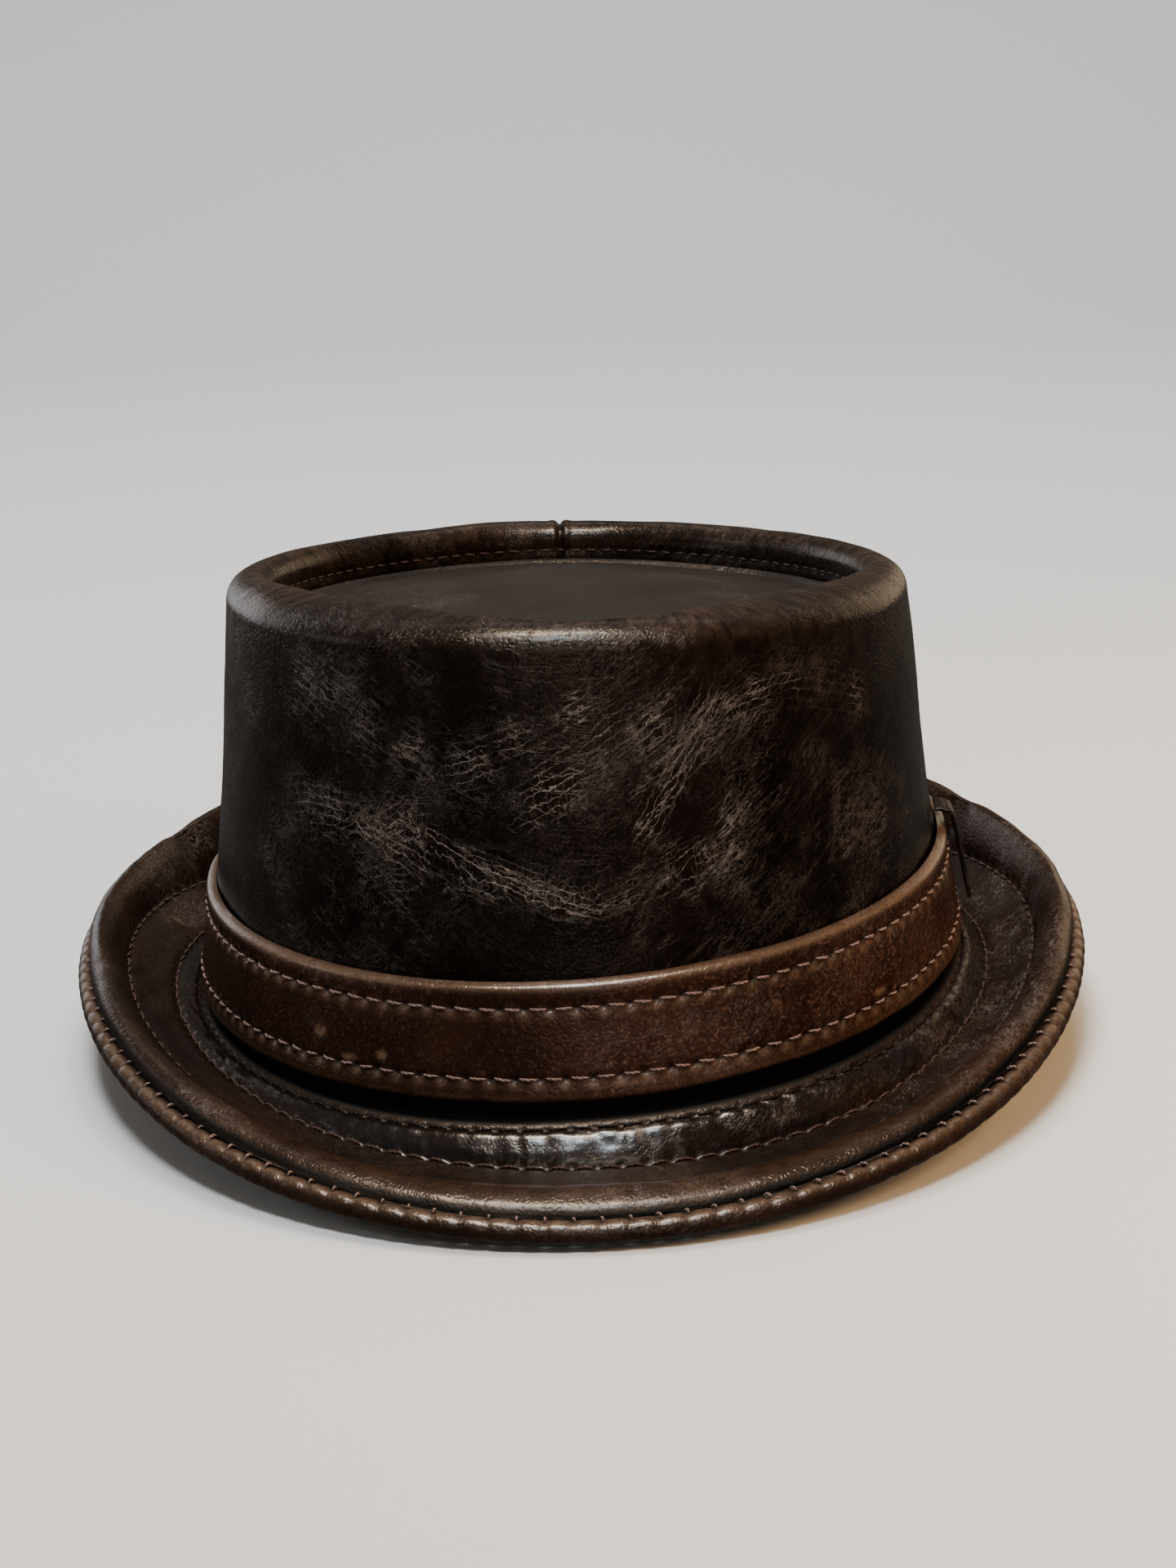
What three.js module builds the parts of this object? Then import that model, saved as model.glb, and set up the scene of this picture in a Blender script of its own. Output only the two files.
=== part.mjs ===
import * as THREE from 'three';

// Leather porkpie hat, millimetres, +Z up, front of the hat toward -Y.
// It rests on the lowest parts of the brim, in front and behind.

// Crown sizes
const footHalfWidth = 89.5;
const footFrontLength = 108;
const footBackLength = 104;
const crestHeight = 107.6;
const crestSlope = 5.2;
const crestTilt = 1.5;
const shoulderInset = 10;
const rollHeight = 6;
const rollInside = 4.5;
const frontPoint = 9.5;
const backPoint = 3;
const recessDepth = 12.5;
const crownLeather = 2.2;
const backSeamDepth = 0.7;
const backSeamHalfAngle = 0.01;

// Shares of the way up the wall, round the outer roll and round the inner roll
const wallShares = [0, 0.5, 1];
const outerRollShares = [0, 0.25, 0.5, 0.75, 1];
const innerRollShares = [0.35, 0.7, 1];

// Tip panel, the sunken top of the crown, with its rings as shares of its edge
const tipDome = 5;
const tipLeather = 2;
const tipRings = [1, 0.86, 0.6, 0.3];

// Brim sizes
const upperLeather = 1.8;
const underLeather = 2.3;
const restAllowance = 0.5;
const layerGap = 0.3;
const thirdSeamOffset = 19;
const brimFront = 36.4;
const brimSide = 28.2;
const brimBack = 29;
const footStep = 7.6;
const footStepSideShare = 0.3;
const frontRoll = 4.7;
const sideRise = 25;
const backRise = 33;

// How sharply the sides turn up: the power of the side share at the third seam and at the edge
const seamRisePower = 1.5;
const edgeRisePower = 1;

// Rounded lip sewn to the edge of the brim, and its turn below level from the rolled edge
const lipRadius = 2.35;
const lipFacets = 8;
const lipTurnFront = 16;
const lipTurnSide = 95;
const lipTurnBack = 75;

// Hat band and its keeper
const bandHeight = 25;
const bandFootGap = 2;
const bandLeather = 2.2;
const bandFlare = 1;
const bandSlant = 3.4;
const bandShares = [0, 0.06, 0.35, 0.7, 0.94, 1];
const bandEdgeShare = 0.4;
const keeperWidth = 8;
const keeperLeather = 1.2;
const keeperStandOff = 2.2;
const keeperAngle = 84;
const keeperTop = 4;

// Stops along the keeper.
// rise: share of its rise above the band. drop: share of the band's height below its top.
// reach: share of the distance from the wall to the keeper's face.
const keeperStops = [
  { rise: 1, drop: 0, reach: 0 },
  { rise: 0.95, drop: 0, reach: 0.6 },
  { rise: 0.35, drop: 0, reach: 0.98 },
  { rise: 0, drop: 0.35, reach: 1.2 },
  { rise: 0, drop: 0.75, reach: 1.36 },
];

// Steps round the hat
const around = 60;

// Top surface of the brim from the crown outward.
// inner: share of the third seam's offset. outer: share of the way on to the edge.
// step: share of the foot step. front, side, back: share of the rise in that direction.
const brimStations = [
  { name: 'foot', inner: 0.02, outer: 0, step: 1, front: 0, side: 0.3, back: 0.06 },
  { name: 'first seam', inner: 0.16, outer: 0, step: 0.86, front: 0, side: 0.28, back: 0.05 },
  { name: 'slope', inner: 0.3, outer: 0, step: 0.34, front: 0, side: 0.28, back: 0.02 },
  { name: 'second seam', inner: 0.44, outer: 0, step: 0, front: 0, side: 0.33, back: 0 },
  { name: 'flat', inner: 0.74, outer: 0, step: 0, front: 0, side: 0.46, back: 0.01 },
  { name: 'third seam', inner: 1, outer: 0, step: 0, front: 0.06, side: 0.63, back: 0.14 },
  { name: 'wall', inner: 1, outer: 0.28, step: 0, front: 0.6, side: 0.86, back: 0.6 },
  { name: 'crest', inner: 1, outer: 0.58, step: 0, front: 1, side: 1, back: 0.96 },
  { name: 'roll', inner: 1, outer: 0.84, step: 0, front: 0.86, side: 0.965, back: 1 },
  { name: 'edge', inner: 1, outer: 0.985, step: 0, front: 0.4, side: 0.86, back: 0.93 },
  { name: 'under edge', inner: 1, outer: 1, step: 0, front: 0.1, side: 0.78, back: 0.88 },
];

// Stations that the lower layer follows, up to the third seam, before it runs on to the lip
const underCount = 6;
const underEdgeShare = 0.7;

// Shape round the hat
function directionShares(angle) {
  const s = Math.sin(angle);
  const c = Math.cos(angle);
  const front = c > 0 ? c * c : 0;
  const back = c < 0 ? c * c : 0;
  return { side: s * s, front, back };
}

function footLength(angle) {
  return Math.cos(angle) >= 0 ? footFrontLength : footBackLength;
}

// A point at an outward distance from the crown's foot line, at a height
function place(angle, out, height) {
  const length = footLength(angle);
  const s = Math.sin(angle);
  const c = Math.cos(angle);
  const nx = s / footHalfWidth;
  const ny = -c / length;
  const n = Math.hypot(nx, ny);
  return [footHalfWidth * s + (out * nx) / n, -length * c + (out * ny) / n, height];
}

// Brim surface
const restingTop = upperLeather + layerGap + underLeather - restAllowance;

function brimTop(angle, row) {
  const share = directionShares(angle);
  const width = brimSide * share.side + brimFront * share.front + brimBack * share.back;
  const out = row.inner * thirdSeamOffset + row.outer * (width - thirdSeamOffset);
  const sidePower = seamRisePower + (edgeRisePower - seamRisePower) * row.outer;
  const side = Math.pow(share.side, sidePower);
  const level = share.front + share.back + footStepSideShare * share.side;
  const height = restingTop
    + row.step * (footStep * level + bandSlant * Math.sin(angle))
    + sideRise * row.side * side
    + frontRoll * row.front * share.front
    + backRise * row.back * share.back;
  return [out, height];
}

function brimLine(angle, rows) {
  return rows.map((row) => brimTop(angle, row));
}

// Offsets a profile line to its lower side
function loweredOpen(line, distance) {
  return line.map((p, i) => {
    const a = line[Math.max(i - 1, 0)];
    const b = line[Math.min(i + 1, line.length - 1)];
    const dx = b[0] - a[0];
    const dz = b[1] - a[1];
    const n = Math.hypot(dx, dz);
    return [p[0] + (dz / n) * distance, p[1] - (dx / n) * distance];
  });
}

// The same, kept clear of the crown
function lowered(line, distance) {
  return loweredOpen(line, distance).map(([out, height]) => [Math.max(out, layerGap), height]);
}

// Crown wall
function footTop(angle) {
  return brimTop(angle, brimStations[0])[1];
}

function footBottom(angle) {
  return footTop(angle) - upperLeather - layerGap - underLeather;
}

function crest(angle) {
  return crestHeight + crestSlope * Math.cos(angle) - crestTilt * Math.sin(angle);
}

function wallOut(angle, height) {
  const low = footBottom(angle);
  const high = crest(angle) - rollHeight;
  const t = (height - low) / (high - low);
  return -shoulderInset * t;
}

function crestInset(angle) {
  const share = Math.pow(Math.sin(2 * angle), 2);
  const point = Math.cos(angle) > 0 ? frontPoint : backPoint;
  return shoulderInset + rollHeight + point * share;
}

// Closed bodies from sections
function orient(vertices, index) {
  let volume = 0;
  for (let i = 0; i < index.length; i += 3) {
    const a = vertices[index[i]];
    const b = vertices[index[i + 1]];
    const c = vertices[index[i + 2]];
    volume += a[0] * (b[1] * c[2] - b[2] * c[1])
      + a[1] * (b[2] * c[0] - b[0] * c[2])
      + a[2] * (b[0] * c[1] - b[1] * c[0]);
  }
  if (volume > 0) return index;
  const turned = [];
  for (let i = 0; i < index.length; i += 3) {
    turned.push(index[i], index[i + 2], index[i + 1]);
  }
  return turned;
}

function body(name, colour, vertices, index) {
  const geometry = new THREE.BufferGeometry();
  geometry.setAttribute('position', new THREE.Float32BufferAttribute(vertices.flat(), 3));
  geometry.setIndex(orient(vertices, index));
  geometry.computeVertexNormals();
  const material = new THREE.MeshStandardMaterial({ color: colour, roughness: 0.5 });
  const mesh = new THREE.Mesh(geometry, material);
  mesh.name = name;
  return mesh;
}

function quad(index, a, b, c, d) {
  index.push(a, b, c, a, c, d);
}

// A ring all round the hat from one closed section per step
function ringBody(name, colour, section) {
  const vertices = [];
  const index = [];
  let count = 0;
  for (let i = 0; i < around; i += 1) {
    const angle = (i * 2 * Math.PI) / around;
    const loop = section(angle);
    count = loop.length;
    for (const [out, height] of loop) vertices.push(place(angle, out, height));
  }
  for (let i = 0; i < around; i += 1) {
    const next = (i + 1) % around;
    for (let k = 0; k < count; k += 1) {
      const up = (k + 1) % count;
      quad(index, i * count + k, next * count + k, next * count + up, i * count + up);
    }
  }
  return body(name, colour, vertices, index);
}

// Side of the crown, up to the shoulder
function sideSection(angle) {
  const low = footBottom(angle);
  const high = crest(angle) - rollHeight - layerGap;
  const outside = wallShares.map((t) => {
    const height = low + (high - low) * t;
    return [wallOut(angle, height), height];
  });
  const inside = outside.map(([out, height]) => [out - crownLeather, height]);
  return outside.concat(inside.reverse());
}

// Rolled rim from the shoulder over the top and down the recess wall
function rimSection(angle) {
  const top = crest(angle);
  const shoulder = top - rollHeight;
  const middle = -crestInset(angle);
  const outerReach = -shoulderInset - middle;
  const seam = Math.abs(angle - Math.PI) < backSeamHalfAngle ? backSeamDepth : 0;
  const outside = [];
  const inside = [];
  for (const t of outerRollShares) {
    const a = (t * Math.PI) / 2;
    outside.push([
      middle + outerReach * Math.cos(a),
      shoulder + rollHeight * Math.sin(a) - seam * t,
    ]);
    inside.push([
      middle + (outerReach - crownLeather) * Math.cos(a),
      shoulder + (rollHeight - crownLeather) * Math.sin(a) - seam * t,
    ]);
  }
  const inner = rollInside - crownLeather;
  for (const t of innerRollShares) {
    const a = (t * Math.PI) / 2;
    const drop = rollInside * (1 - Math.cos(a));
    const innerDrop = crownLeather + inner * (1 - Math.cos(a));
    outside.push([middle - rollInside * Math.sin(a), top - drop - seam * (1 - t)]);
    inside.push([middle - inner * Math.sin(a), top - innerDrop - seam * (1 - t)]);
  }
  const seat = top - recessDepth;
  outside.push([middle - rollInside, seat]);
  inside.push([middle - rollInside + crownLeather, seat]);
  return outside.concat(inside.reverse());
}

// Tip panel: a low dome whose edge meets the recess wall
function tipBody(name, colour) {
  const vertices = [];
  const index = [];
  const centreHeight = crestHeight - recessDepth + tipDome;
  const dome = (share) => tipDome * (1 - share * share);
  for (const side of [0, 1]) {
    for (const share of tipRings) {
      for (let i = 0; i < around; i += 1) {
        const angle = (i * 2 * Math.PI) / around;
        const out = -crestInset(angle) - rollInside - layerGap;
        const edge = place(angle, out, 0);
        const level = crest(angle) - crestHeight;
        const height = crestHeight - recessDepth + level * share + dome(share);
        vertices.push([edge[0] * share, edge[1] * share, height + tipLeather * (1 - side)]);
      }
    }
    vertices.push([0, 0, centreHeight + tipLeather * (1 - side)]);
  }
  const perSide = tipRings.length * around + 1;
  for (const side of [0, 1]) {
    const base = side * perSide;
    const centre = base + tipRings.length * around;
    for (let i = 0; i < around; i += 1) {
      const next = (i + 1) % around;
      for (let r = 0; r + 1 < tipRings.length; r += 1) {
        const a = base + r * around + i;
        const b = base + r * around + next;
        const c = b + around;
        const d = a + around;
        if (side === 0) quad(index, a, b, c, d);
        else quad(index, a, d, c, b);
      }
      const last = base + (tipRings.length - 1) * around;
      if (side === 0) index.push(last + i, last + next, centre);
      else index.push(last + next, last + i, centre);
    }
  }
  for (let i = 0; i < around; i += 1) {
    const next = (i + 1) % around;
    quad(index, i, perSide + i, perSide + next, next);
  }
  return body(name, colour, vertices, index);
}

// Upper layer of the brim with its rolled edge
function upperSection(angle) {
  const line = brimLine(angle, brimStations);
  return line.concat(lowered(line, upperLeather).reverse());
}

// Lower layer of the brim, flat where it rests
function underSection(angle) {
  const line = brimLine(angle, brimStations);
  const depth = upperLeather + layerGap;
  const top = lowered(line, depth).slice(0, underCount);
  const low = lowered(line, depth + underLeather).slice(0, underCount);
  const from = lowered(line, depth + underLeather / 2)[underCount - 1];
  const lip = lipCentre(angle);
  const run = Math.hypot(from[0] - lip[0], from[1] - lip[1]);
  const back = [(from[0] - lip[0]) / run, (from[1] - lip[1]) / run];
  const half = (underLeather * underEdgeShare) / 2;
  const reach = lipRadius + layerGap;
  const end = [lip[0] + back[0] * reach, lip[1] + back[1] * reach];
  top.push([end[0] + back[1] * half, end[1] - back[0] * half]);
  low.push([end[0] - back[1] * half, end[1] + back[0] * half]);
  const rested = low.map(([out, height]) => [out, Math.max(height, 0)]);
  return top.reverse().concat(rested);
}

// Rounded lip beside the end of the rolled edge
function lipCentre(angle) {
  const end = brimTop(angle, brimStations[brimStations.length - 1]);
  const share = directionShares(angle);
  const turn = lipTurnFront * share.front + lipTurnSide * share.side + lipTurnBack * share.back;
  const away = lipRadius + layerGap;
  const out = end[0] + away * Math.cos((turn * Math.PI) / 180);
  const height = Math.max(end[1] - away * Math.sin((turn * Math.PI) / 180), lipRadius);
  return [out, height];
}

function lipSection(angle) {
  const [out, height] = lipCentre(angle);
  const loop = [];
  for (let k = 0; k < lipFacets; k += 1) {
    const a = ((k + 0.5) * 2 * Math.PI) / lipFacets;
    loop.push([out + lipRadius * Math.cos(a), height + lipRadius * Math.sin(a)]);
  }
  return loop;
}

// Hat band, slanting up toward the wearer's left as the brim's foot does
function bandLow(angle) {
  const sideFoot = (footTop(Math.PI / 2) + footTop(-Math.PI / 2)) / 2;
  const highest = Math.max(footTop(0), sideFoot, footTop(Math.PI));
  return highest + bandFootGap + bandSlant * Math.sin(angle);
}

function bandSection(angle) {
  const low = bandLow(angle);
  const half = bandLeather / 2;
  const inner = [];
  const outer = [];
  for (const t of bandShares) {
    const height = low + bandHeight * t;
    const edge = t === 0 || t === 1;
    const flare = bandFlare * (1 - t) * (1 - t);
    const middle = wallOut(angle, height) + layerGap + half + flare;
    const reach = edge ? half * bandEdgeShare : half;
    outer.push([middle + reach, height]);
    inner.push([middle - reach, height]);
  }
  return inner.concat(outer.reverse());
}

// Narrow leather keeper over the band
function keeperBody(name, colour) {
  const centre = (keeperAngle * Math.PI) / 180;
  const half = keeperWidth / 2 / footHalfWidth;
  const steps = [-1, 0, 1];
  const vertices = [];
  const index = [];
  let count = 0;
  for (const s of steps) {
    const angle = centre + s * half;
    const top = bandLow(angle) + bandHeight;
    const face = bandLeather + layerGap + keeperStandOff;
    const path = keeperStops.map((stop) => {
      const height = top + keeperTop * stop.rise - bandHeight * stop.drop;
      return [wallOut(angle, height) + layerGap + face * stop.reach, height];
    });
    const lowerLine = loweredOpen(path, keeperLeather);
    lowerLine[0][0] = path[0][0];
    const loop = path.concat(lowerLine.reverse());
    count = loop.length;
    for (const [out, height] of loop) vertices.push(place(angle, out, height));
  }
  for (let i = 0; i + 1 < steps.length; i += 1) {
    for (let k = 0; k < count; k += 1) {
      const up = (k + 1) % count;
      const a = i * count;
      const b = (i + 1) * count;
      quad(index, a + k, b + k, b + up, a + up);
    }
  }
  const last = (steps.length - 1) * count;
  for (let k = 0; k + 1 < count / 2; k += 1) {
    const far = count - 1 - k;
    quad(index, k, k + 1, far - 1, far);
    quad(index, last + k, last + far, last + far - 1, last + k + 1);
  }
  return body(name, colour, vertices, index);
}

// Assembly
const hat = new THREE.Group();
hat.name = 'porkpie_hat';
hat.add(
  ringBody('crown_side', '#2c1d16', sideSection),
  ringBody('crown_rim', '#2c1d16', rimSection),
  tipBody('crown_tip', '#241812'),
  ringBody('brim_upper', '#33231b', upperSection),
  ringBody('brim_under', '#2a1c15', underSection),
  ringBody('brim_edge_lip', '#5a3c28', lipSection),
  ringBody('hat_band', '#4a2c20', bandSection),
  keeperBody('band_keeper', '#3c271d'),
);

// The origin is at the middle of the hat's box, at the rest plane
const box = new THREE.Box3().setFromObject(hat);
for (const mesh of hat.children) {
  mesh.geometry.translate(-(box.min.x + box.max.x) / 2, -(box.min.y + box.max.y) / 2, -box.min.z);
}

export default hat;
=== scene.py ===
import math

import bpy
import numpy as np
from bpy.props import FloatProperty, FloatVectorProperty, IntProperty, PointerProperty
from bpy.types import Operator, Panel, PropertyGroup
from mathutils import Matrix, Vector


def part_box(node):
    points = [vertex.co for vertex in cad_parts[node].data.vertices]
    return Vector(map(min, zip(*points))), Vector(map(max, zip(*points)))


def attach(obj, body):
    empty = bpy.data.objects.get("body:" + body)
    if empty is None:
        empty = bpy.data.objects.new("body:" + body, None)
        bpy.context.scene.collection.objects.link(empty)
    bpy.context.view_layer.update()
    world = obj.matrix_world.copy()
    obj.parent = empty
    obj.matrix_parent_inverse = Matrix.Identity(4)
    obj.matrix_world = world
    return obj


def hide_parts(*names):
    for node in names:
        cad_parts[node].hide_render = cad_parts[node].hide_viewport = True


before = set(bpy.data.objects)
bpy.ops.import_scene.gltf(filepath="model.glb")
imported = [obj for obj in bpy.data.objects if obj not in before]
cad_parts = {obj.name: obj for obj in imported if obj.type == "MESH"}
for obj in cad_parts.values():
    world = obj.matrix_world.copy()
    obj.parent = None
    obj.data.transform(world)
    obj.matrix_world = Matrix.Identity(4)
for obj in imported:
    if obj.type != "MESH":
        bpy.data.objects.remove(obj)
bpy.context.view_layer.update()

bl_info = {
    "name": "Leather porkpie hat",
    "version": (1, 0, 0),
    "blender": (4, 5, 0),
    "location": "View3D > Sidebar > Hat",
    "description": "Dresses the packed porkpie hat in creased, stitched leather",
    "category": "Object",
}

CROWN_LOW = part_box("crown_side")[0]
CROWN_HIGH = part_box("crown_side")[1]
TURN = 2 * math.pi


# Sizes and colours that a user would change

def length(name, description, default):
    """A size in metres."""
    return FloatProperty(name=name, description=description, default=default, unit="LENGTH", precision=5)


def colour(name, description, default):
    """A linear colour."""
    return FloatVectorProperty(
        name=name, description=description, default=default, subtype="COLOR", size=3, min=0, max=1
    )


class HatCrown(PropertyGroup):
    """Sizes of the crown."""
    half_width: length("Half width", "Half the crown's width at its foot", CROWN_HIGH.x)
    front_length: length("Front length", "Middle to front of the crown's foot", 0.108)
    back_length: length("Back length", "Middle to back of the crown's foot", 0.104)
    height: length("Height", "Rim above the table", 0.1076)
    slope: length("Slope", "How much higher the rim is in front than at the sides", 0.0052)
    tilt: length("Tilt", "How much lower the rim is at the wearer's left than in the middle", 0.0015)
    shoulder: length("Shoulder inset", "How far the wall leans in on its way up", 0.010)
    roll_height: length("Roll height", "Height of the rolled rim's outer curve", 0.006)
    roll_inside: length("Roll inside", "Radius of the rolled rim's inner curve", 0.0045)
    front_point: length("Front point", "How far the rim narrows toward the front", 0.0095)
    back_point: length("Back point", "How far the rim narrows toward the back", 0.003)
    recess: length("Recess", "Depth of the sunken top below the rim", 0.0125)
    leather: length("Leather", "Thickness of the crown's leather", 0.0022)
    tip_dome: length("Tip dome", "Rise of the tip's middle", 0.005)
    tip_leather: length("Tip leather", "Thickness of the tip", 0.002)


class HatBrim(PropertyGroup):
    """Sizes of the brim."""
    upper_leather: length("Upper leather", "Thickness of the upper layer", 0.0018)
    under_leather: length("Under leather", "Thickness of the lower layer", 0.0023)
    gap: length("Gap", "Gap between neighbouring pieces", 0.0003)
    rest: length("Rest", "How much the lower layer is flattened where it rests", 0.0005)
    third_seam: length("Third seam", "Distance of the third seam from the crown", 0.019)
    front: length("Front", "Width of the brim in front", 0.0364)
    side: length("Side", "Width of the brim at the sides, seen from above", 0.0282)
    back: length("Back", "Width of the brim at the back, seen from above", 0.029)
    step: length("Step", "Drop from the crown's foot to the brim's flat", 0.0076)
    front_roll: length("Front roll", "Height of the rolled edge in front", 0.0047)
    side_rise: length("Side rise", "How far the sides turn up", 0.025)
    back_rise: length("Back rise", "How far the back turns up", 0.033)
    lip_radius: length("Lip radius", "Radius of the rounded lip", 0.00235)


class HatBand(PropertyGroup):
    """Sizes of the hat band and its keeper."""
    height: length("Height", "Height of the band", 0.025)
    clear: length("Clearance", "Gap from the band down to the brim", 0.002)
    leather: length("Leather", "Thickness of the band", 0.0022)
    flare: length("Flare", "How far the band's foot stands out", 0.001)
    slant: length("Slant", "How much the band rises toward the wearer's left", 0.0034)
    edge_roll: length("Edge roll", "Height of the band's rolled edges", 0.0044)
    keeper_width: length("Keeper width", "Width of the keeper", 0.008)
    keeper_leather: length("Keeper leather", "Thickness of the keeper", 0.0012)
    keeper_stand_off: length("Keeper stand-off", "Gap between the keeper and the band", 0.0022)
    keeper_top: length("Keeper top", "Rise of the keeper above the band", 0.004)


class HatThread(PropertyGroup):
    """Sizes of the stitches."""
    radius: length("Radius", "Radius of the thread", 0.00030)
    pitch: length("Pitch", "Distance from stitch to stitch", 0.0054)
    brim_pitch: length("Brim pitch", "Distance from stitch to stitch on the brim", 0.0052)
    edge_pitch: length("Edge pitch", "Distance from stitch to stitch at the lip", 0.0056)
    dip: length("Dip", "How deep a stitch pulls the leather in", 0.0006)


class HatFinish(PropertyGroup):
    """Colours of the leather and thread."""
    crown: colour("Crown", "Waxed leather of the crown", (0.0022, 0.0010, 0.0007))
    tip: colour("Tip", "Waxed leather of the tip", (0.0070, 0.0050, 0.0042))
    brim: colour("Brim", "Waxed leather of the brim", (0.0095, 0.0034, 0.0015))
    band: colour("Band", "Leather of the band", (0.0200, 0.0060, 0.0029))
    lip: colour("Lip", "Leather of the lip", (0.0125, 0.0052, 0.0028))
    # Paler creases: partly stretched leather, partly a painted sheen
    pull: colour("Pulled leather", "Leather where it is stretched or creased", (0.2800, 0.2300, 0.2000))
    # Rubbed edges and scuffs; on edges and ridges this paler colour is partly a painted highlight
    worn_and_highlight: colour("Worn leather", "Leather on worn edges", (0.1500, 0.0880, 0.0500))
    fleck: colour("Flecks", "Pale flecks of the grain", (0.1500, 0.0720, 0.0400))
    # Painted sheen: the pale veil round the guided creases
    painted_sheen: colour("Haze", "Leather that the creases make paler", (0.0150, 0.0115, 0.0105))
    polished: colour("Polished leather", "Polished leather of the brim", (0.0045, 0.0042, 0.0046))
    # Painted shade: the colour laid into seams, stitch holes, grooves, the brim's flat and the crown's strip
    # under the band
    painted_shade_tone: colour("Hollows", "Leather deep in seams and hollows", (0.0012, 0.0008, 0.0006))
    gloss_tint: colour("Gloss tint", "Tint of the wax's gloss", (1.0, 0.78, 0.62))
    thread: colour("Thread", "Twisted thread of the band", (0.3000, 0.1950, 0.1600))
    dark_thread: colour("Dark thread", "Twisted thread of the brim and the rim", (0.0900, 0.0520, 0.0400))
    # Painted shade: a near-black copy of the brim's thread for the first seam, which lies in the band's
    # shadow
    black_thread: colour("Black thread", "Twisted thread of the brim's first seam", (0.0200, 0.0120, 0.0090))
    floor: colour("Floor", "Table and wall", (0.7400, 0.7250, 0.7050))
    steps_round: IntProperty(
        name="Steps round", description="Points round the hat in each leather piece", default=1000, min=60
    )


# Short tables of the hat's shapes

def table(columns, *rows):
    """Rows of values, each as a dictionary with the columns' names."""
    return [dict(zip(columns.split(), row)) for row in rows]


# Lines across the brim: shares of the third seam's distance, of the width beyond it, and of each rise
BRIM_LINES = table(
    "name inner outer step front side back",
    ("foot", 0.02, 0.0, 1.0, 0.0, 0.3, 0.06),
    ("first seam", 0.16, 0.0, 0.86, 0.0, 0.28, 0.05),
    ("slope", 0.3, 0.0, 0.34, 0.0, 0.28, 0.02),
    ("second seam", 0.44, 0.0, 0.0, 0.0, 0.33, 0.0),
    ("flat", 0.74, 0.0, 0.0, 0.0, 0.46, 0.01),
    ("third seam", 1.0, 0.0, 0.0, 0.06, 0.63, 0.14),
    ("wall", 1.0, 0.28, 0.0, 0.6, 0.86, 0.6),
    ("crest", 1.0, 0.58, 0.0, 1.0, 1.0, 0.96),
    ("roll", 1.0, 0.84, 0.0, 0.86, 0.965, 1.0),
    ("edge", 1.0, 0.985, 0.0, 0.4, 0.86, 0.93),
    ("under edge", 1.0, 1.0, 0.0, 0.1, 0.78, 0.88),
)
FIRST_SEAM = 1
SECOND_SEAM = 3
THIRD_SEAM = 5
CREST = 7
LAST_LINE = len(BRIM_LINES) - 1

# How much of the step and how steep a turn is left at the sides
SIDE_STEP = 0.3
SIDE_POWER = 1.5

# The brim's seams: width of the groove in lines, and depth in dips of the thread
BRIM_SEAMS = table(
    "line width depth",
    (FIRST_SEAM, 0.22, 1.1),
    (SECOND_SEAM, 0.2, 1.2),
    (THIRD_SEAM, 0.2, 1.3),
)

# The low welt outside each of those seams: distance and width in lines, and height in dips
SEAM_WELT = {"away": 0.45, "width": 0.25, "height": 0.35}

# Zones across the brim, in lines. The foot's shade fades out over its span, the others begin over theirs,
# and two of them also have a span where they end.
FOOT_SHADE = (0.35, 0.95)
BETWEEN_SEAMS = ((0.9, 1.3), (2.75, 3.1))
FLAT_ZONE = ((3.0, 3.5), (4.9, 5.3))
ROLL_ZONE = (5.2, 6.0)
EDGE_SHADE = (8.3, 9.0)
EDGE_ZONE = (8.5, 9.3)

# Heights of the brim's surface in metres: padding and wrinkles between its seams, folds of its flat, and
# the drop to its edge
PADDING = 0.0007
BROAD_WRINKLES = 0.00030
SHARP_WRINKLES = 0.00022
FINE_WRINKLES = 0.00008
FLAT_FOLDS = 0.00035
EDGE_DROP = 0.0005

# Where the wrinkles are strongest: angle and width in degrees, and strength over that of the rest
WRINKLED = ((38, 26, 0.75), (-60, 20, 0.3))
WRINKLED_REST = 0.55

# How the lip turns round the rolled edge, degrees below level
LIP_TURN = {"front": 16, "side": 95, "back": 75}

# Marks round the lip's section, middle and width in degrees: paler rubbed leather that is partly a painted
# highlight, painted shade on the groove's side and painted shade in the stitch holes. Then how much its
# radius wanders, how deep its stitches pinch it in dips, and from which angle a stitch goes over it and how
# far, in degrees.
LIP_WEAR_AND_HIGHLIGHT = (75, 32)
LIP_GROOVE_SHADE = (150, 34)
LIP_HOLE_SHADE = (110, 50)
LIP_SWELL = 0.035
LIP_PINCH = 0.8
LIP_STITCH = (150, 62)

# Rows of points along the crown's line
WALL_ROWS = 44
OUTSIDE_ROWS = 12
INSIDE_ROWS = 9
RECESS_ROWS = 12
RIM_SEAM_ROW = WALL_ROWS + OUTSIDE_ROWS + INSIDE_ROWS + 3

# Points along or round the other sections
TIP_STEPS = 520
BRIM_POINTS = 62
UNDER_POINTS = 101
LIP_SIDES = 30
BAND_POINTS = 46
KEEPER_STEPS = 60
KEEPER_SIDES = 28
THREAD_RINGS = 7
THREAD_SIDES = 6
FLOOR_SIDES = 128

# The seam inside the rim, beside the band's: its pitch, its thread's radius and its dip
RIM_PITCH = 0.8
RIM_THREAD = 0.9
RIM_DIP = 0.8

# The crown's back seam: a groove and a ridge at each side, in metres and degrees
BACK_SEAM = {"depth": 0.0009, "width": 0.45, "ridge": 0.0003, "away": 1.5, "ridge_width": 0.8}

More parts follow.
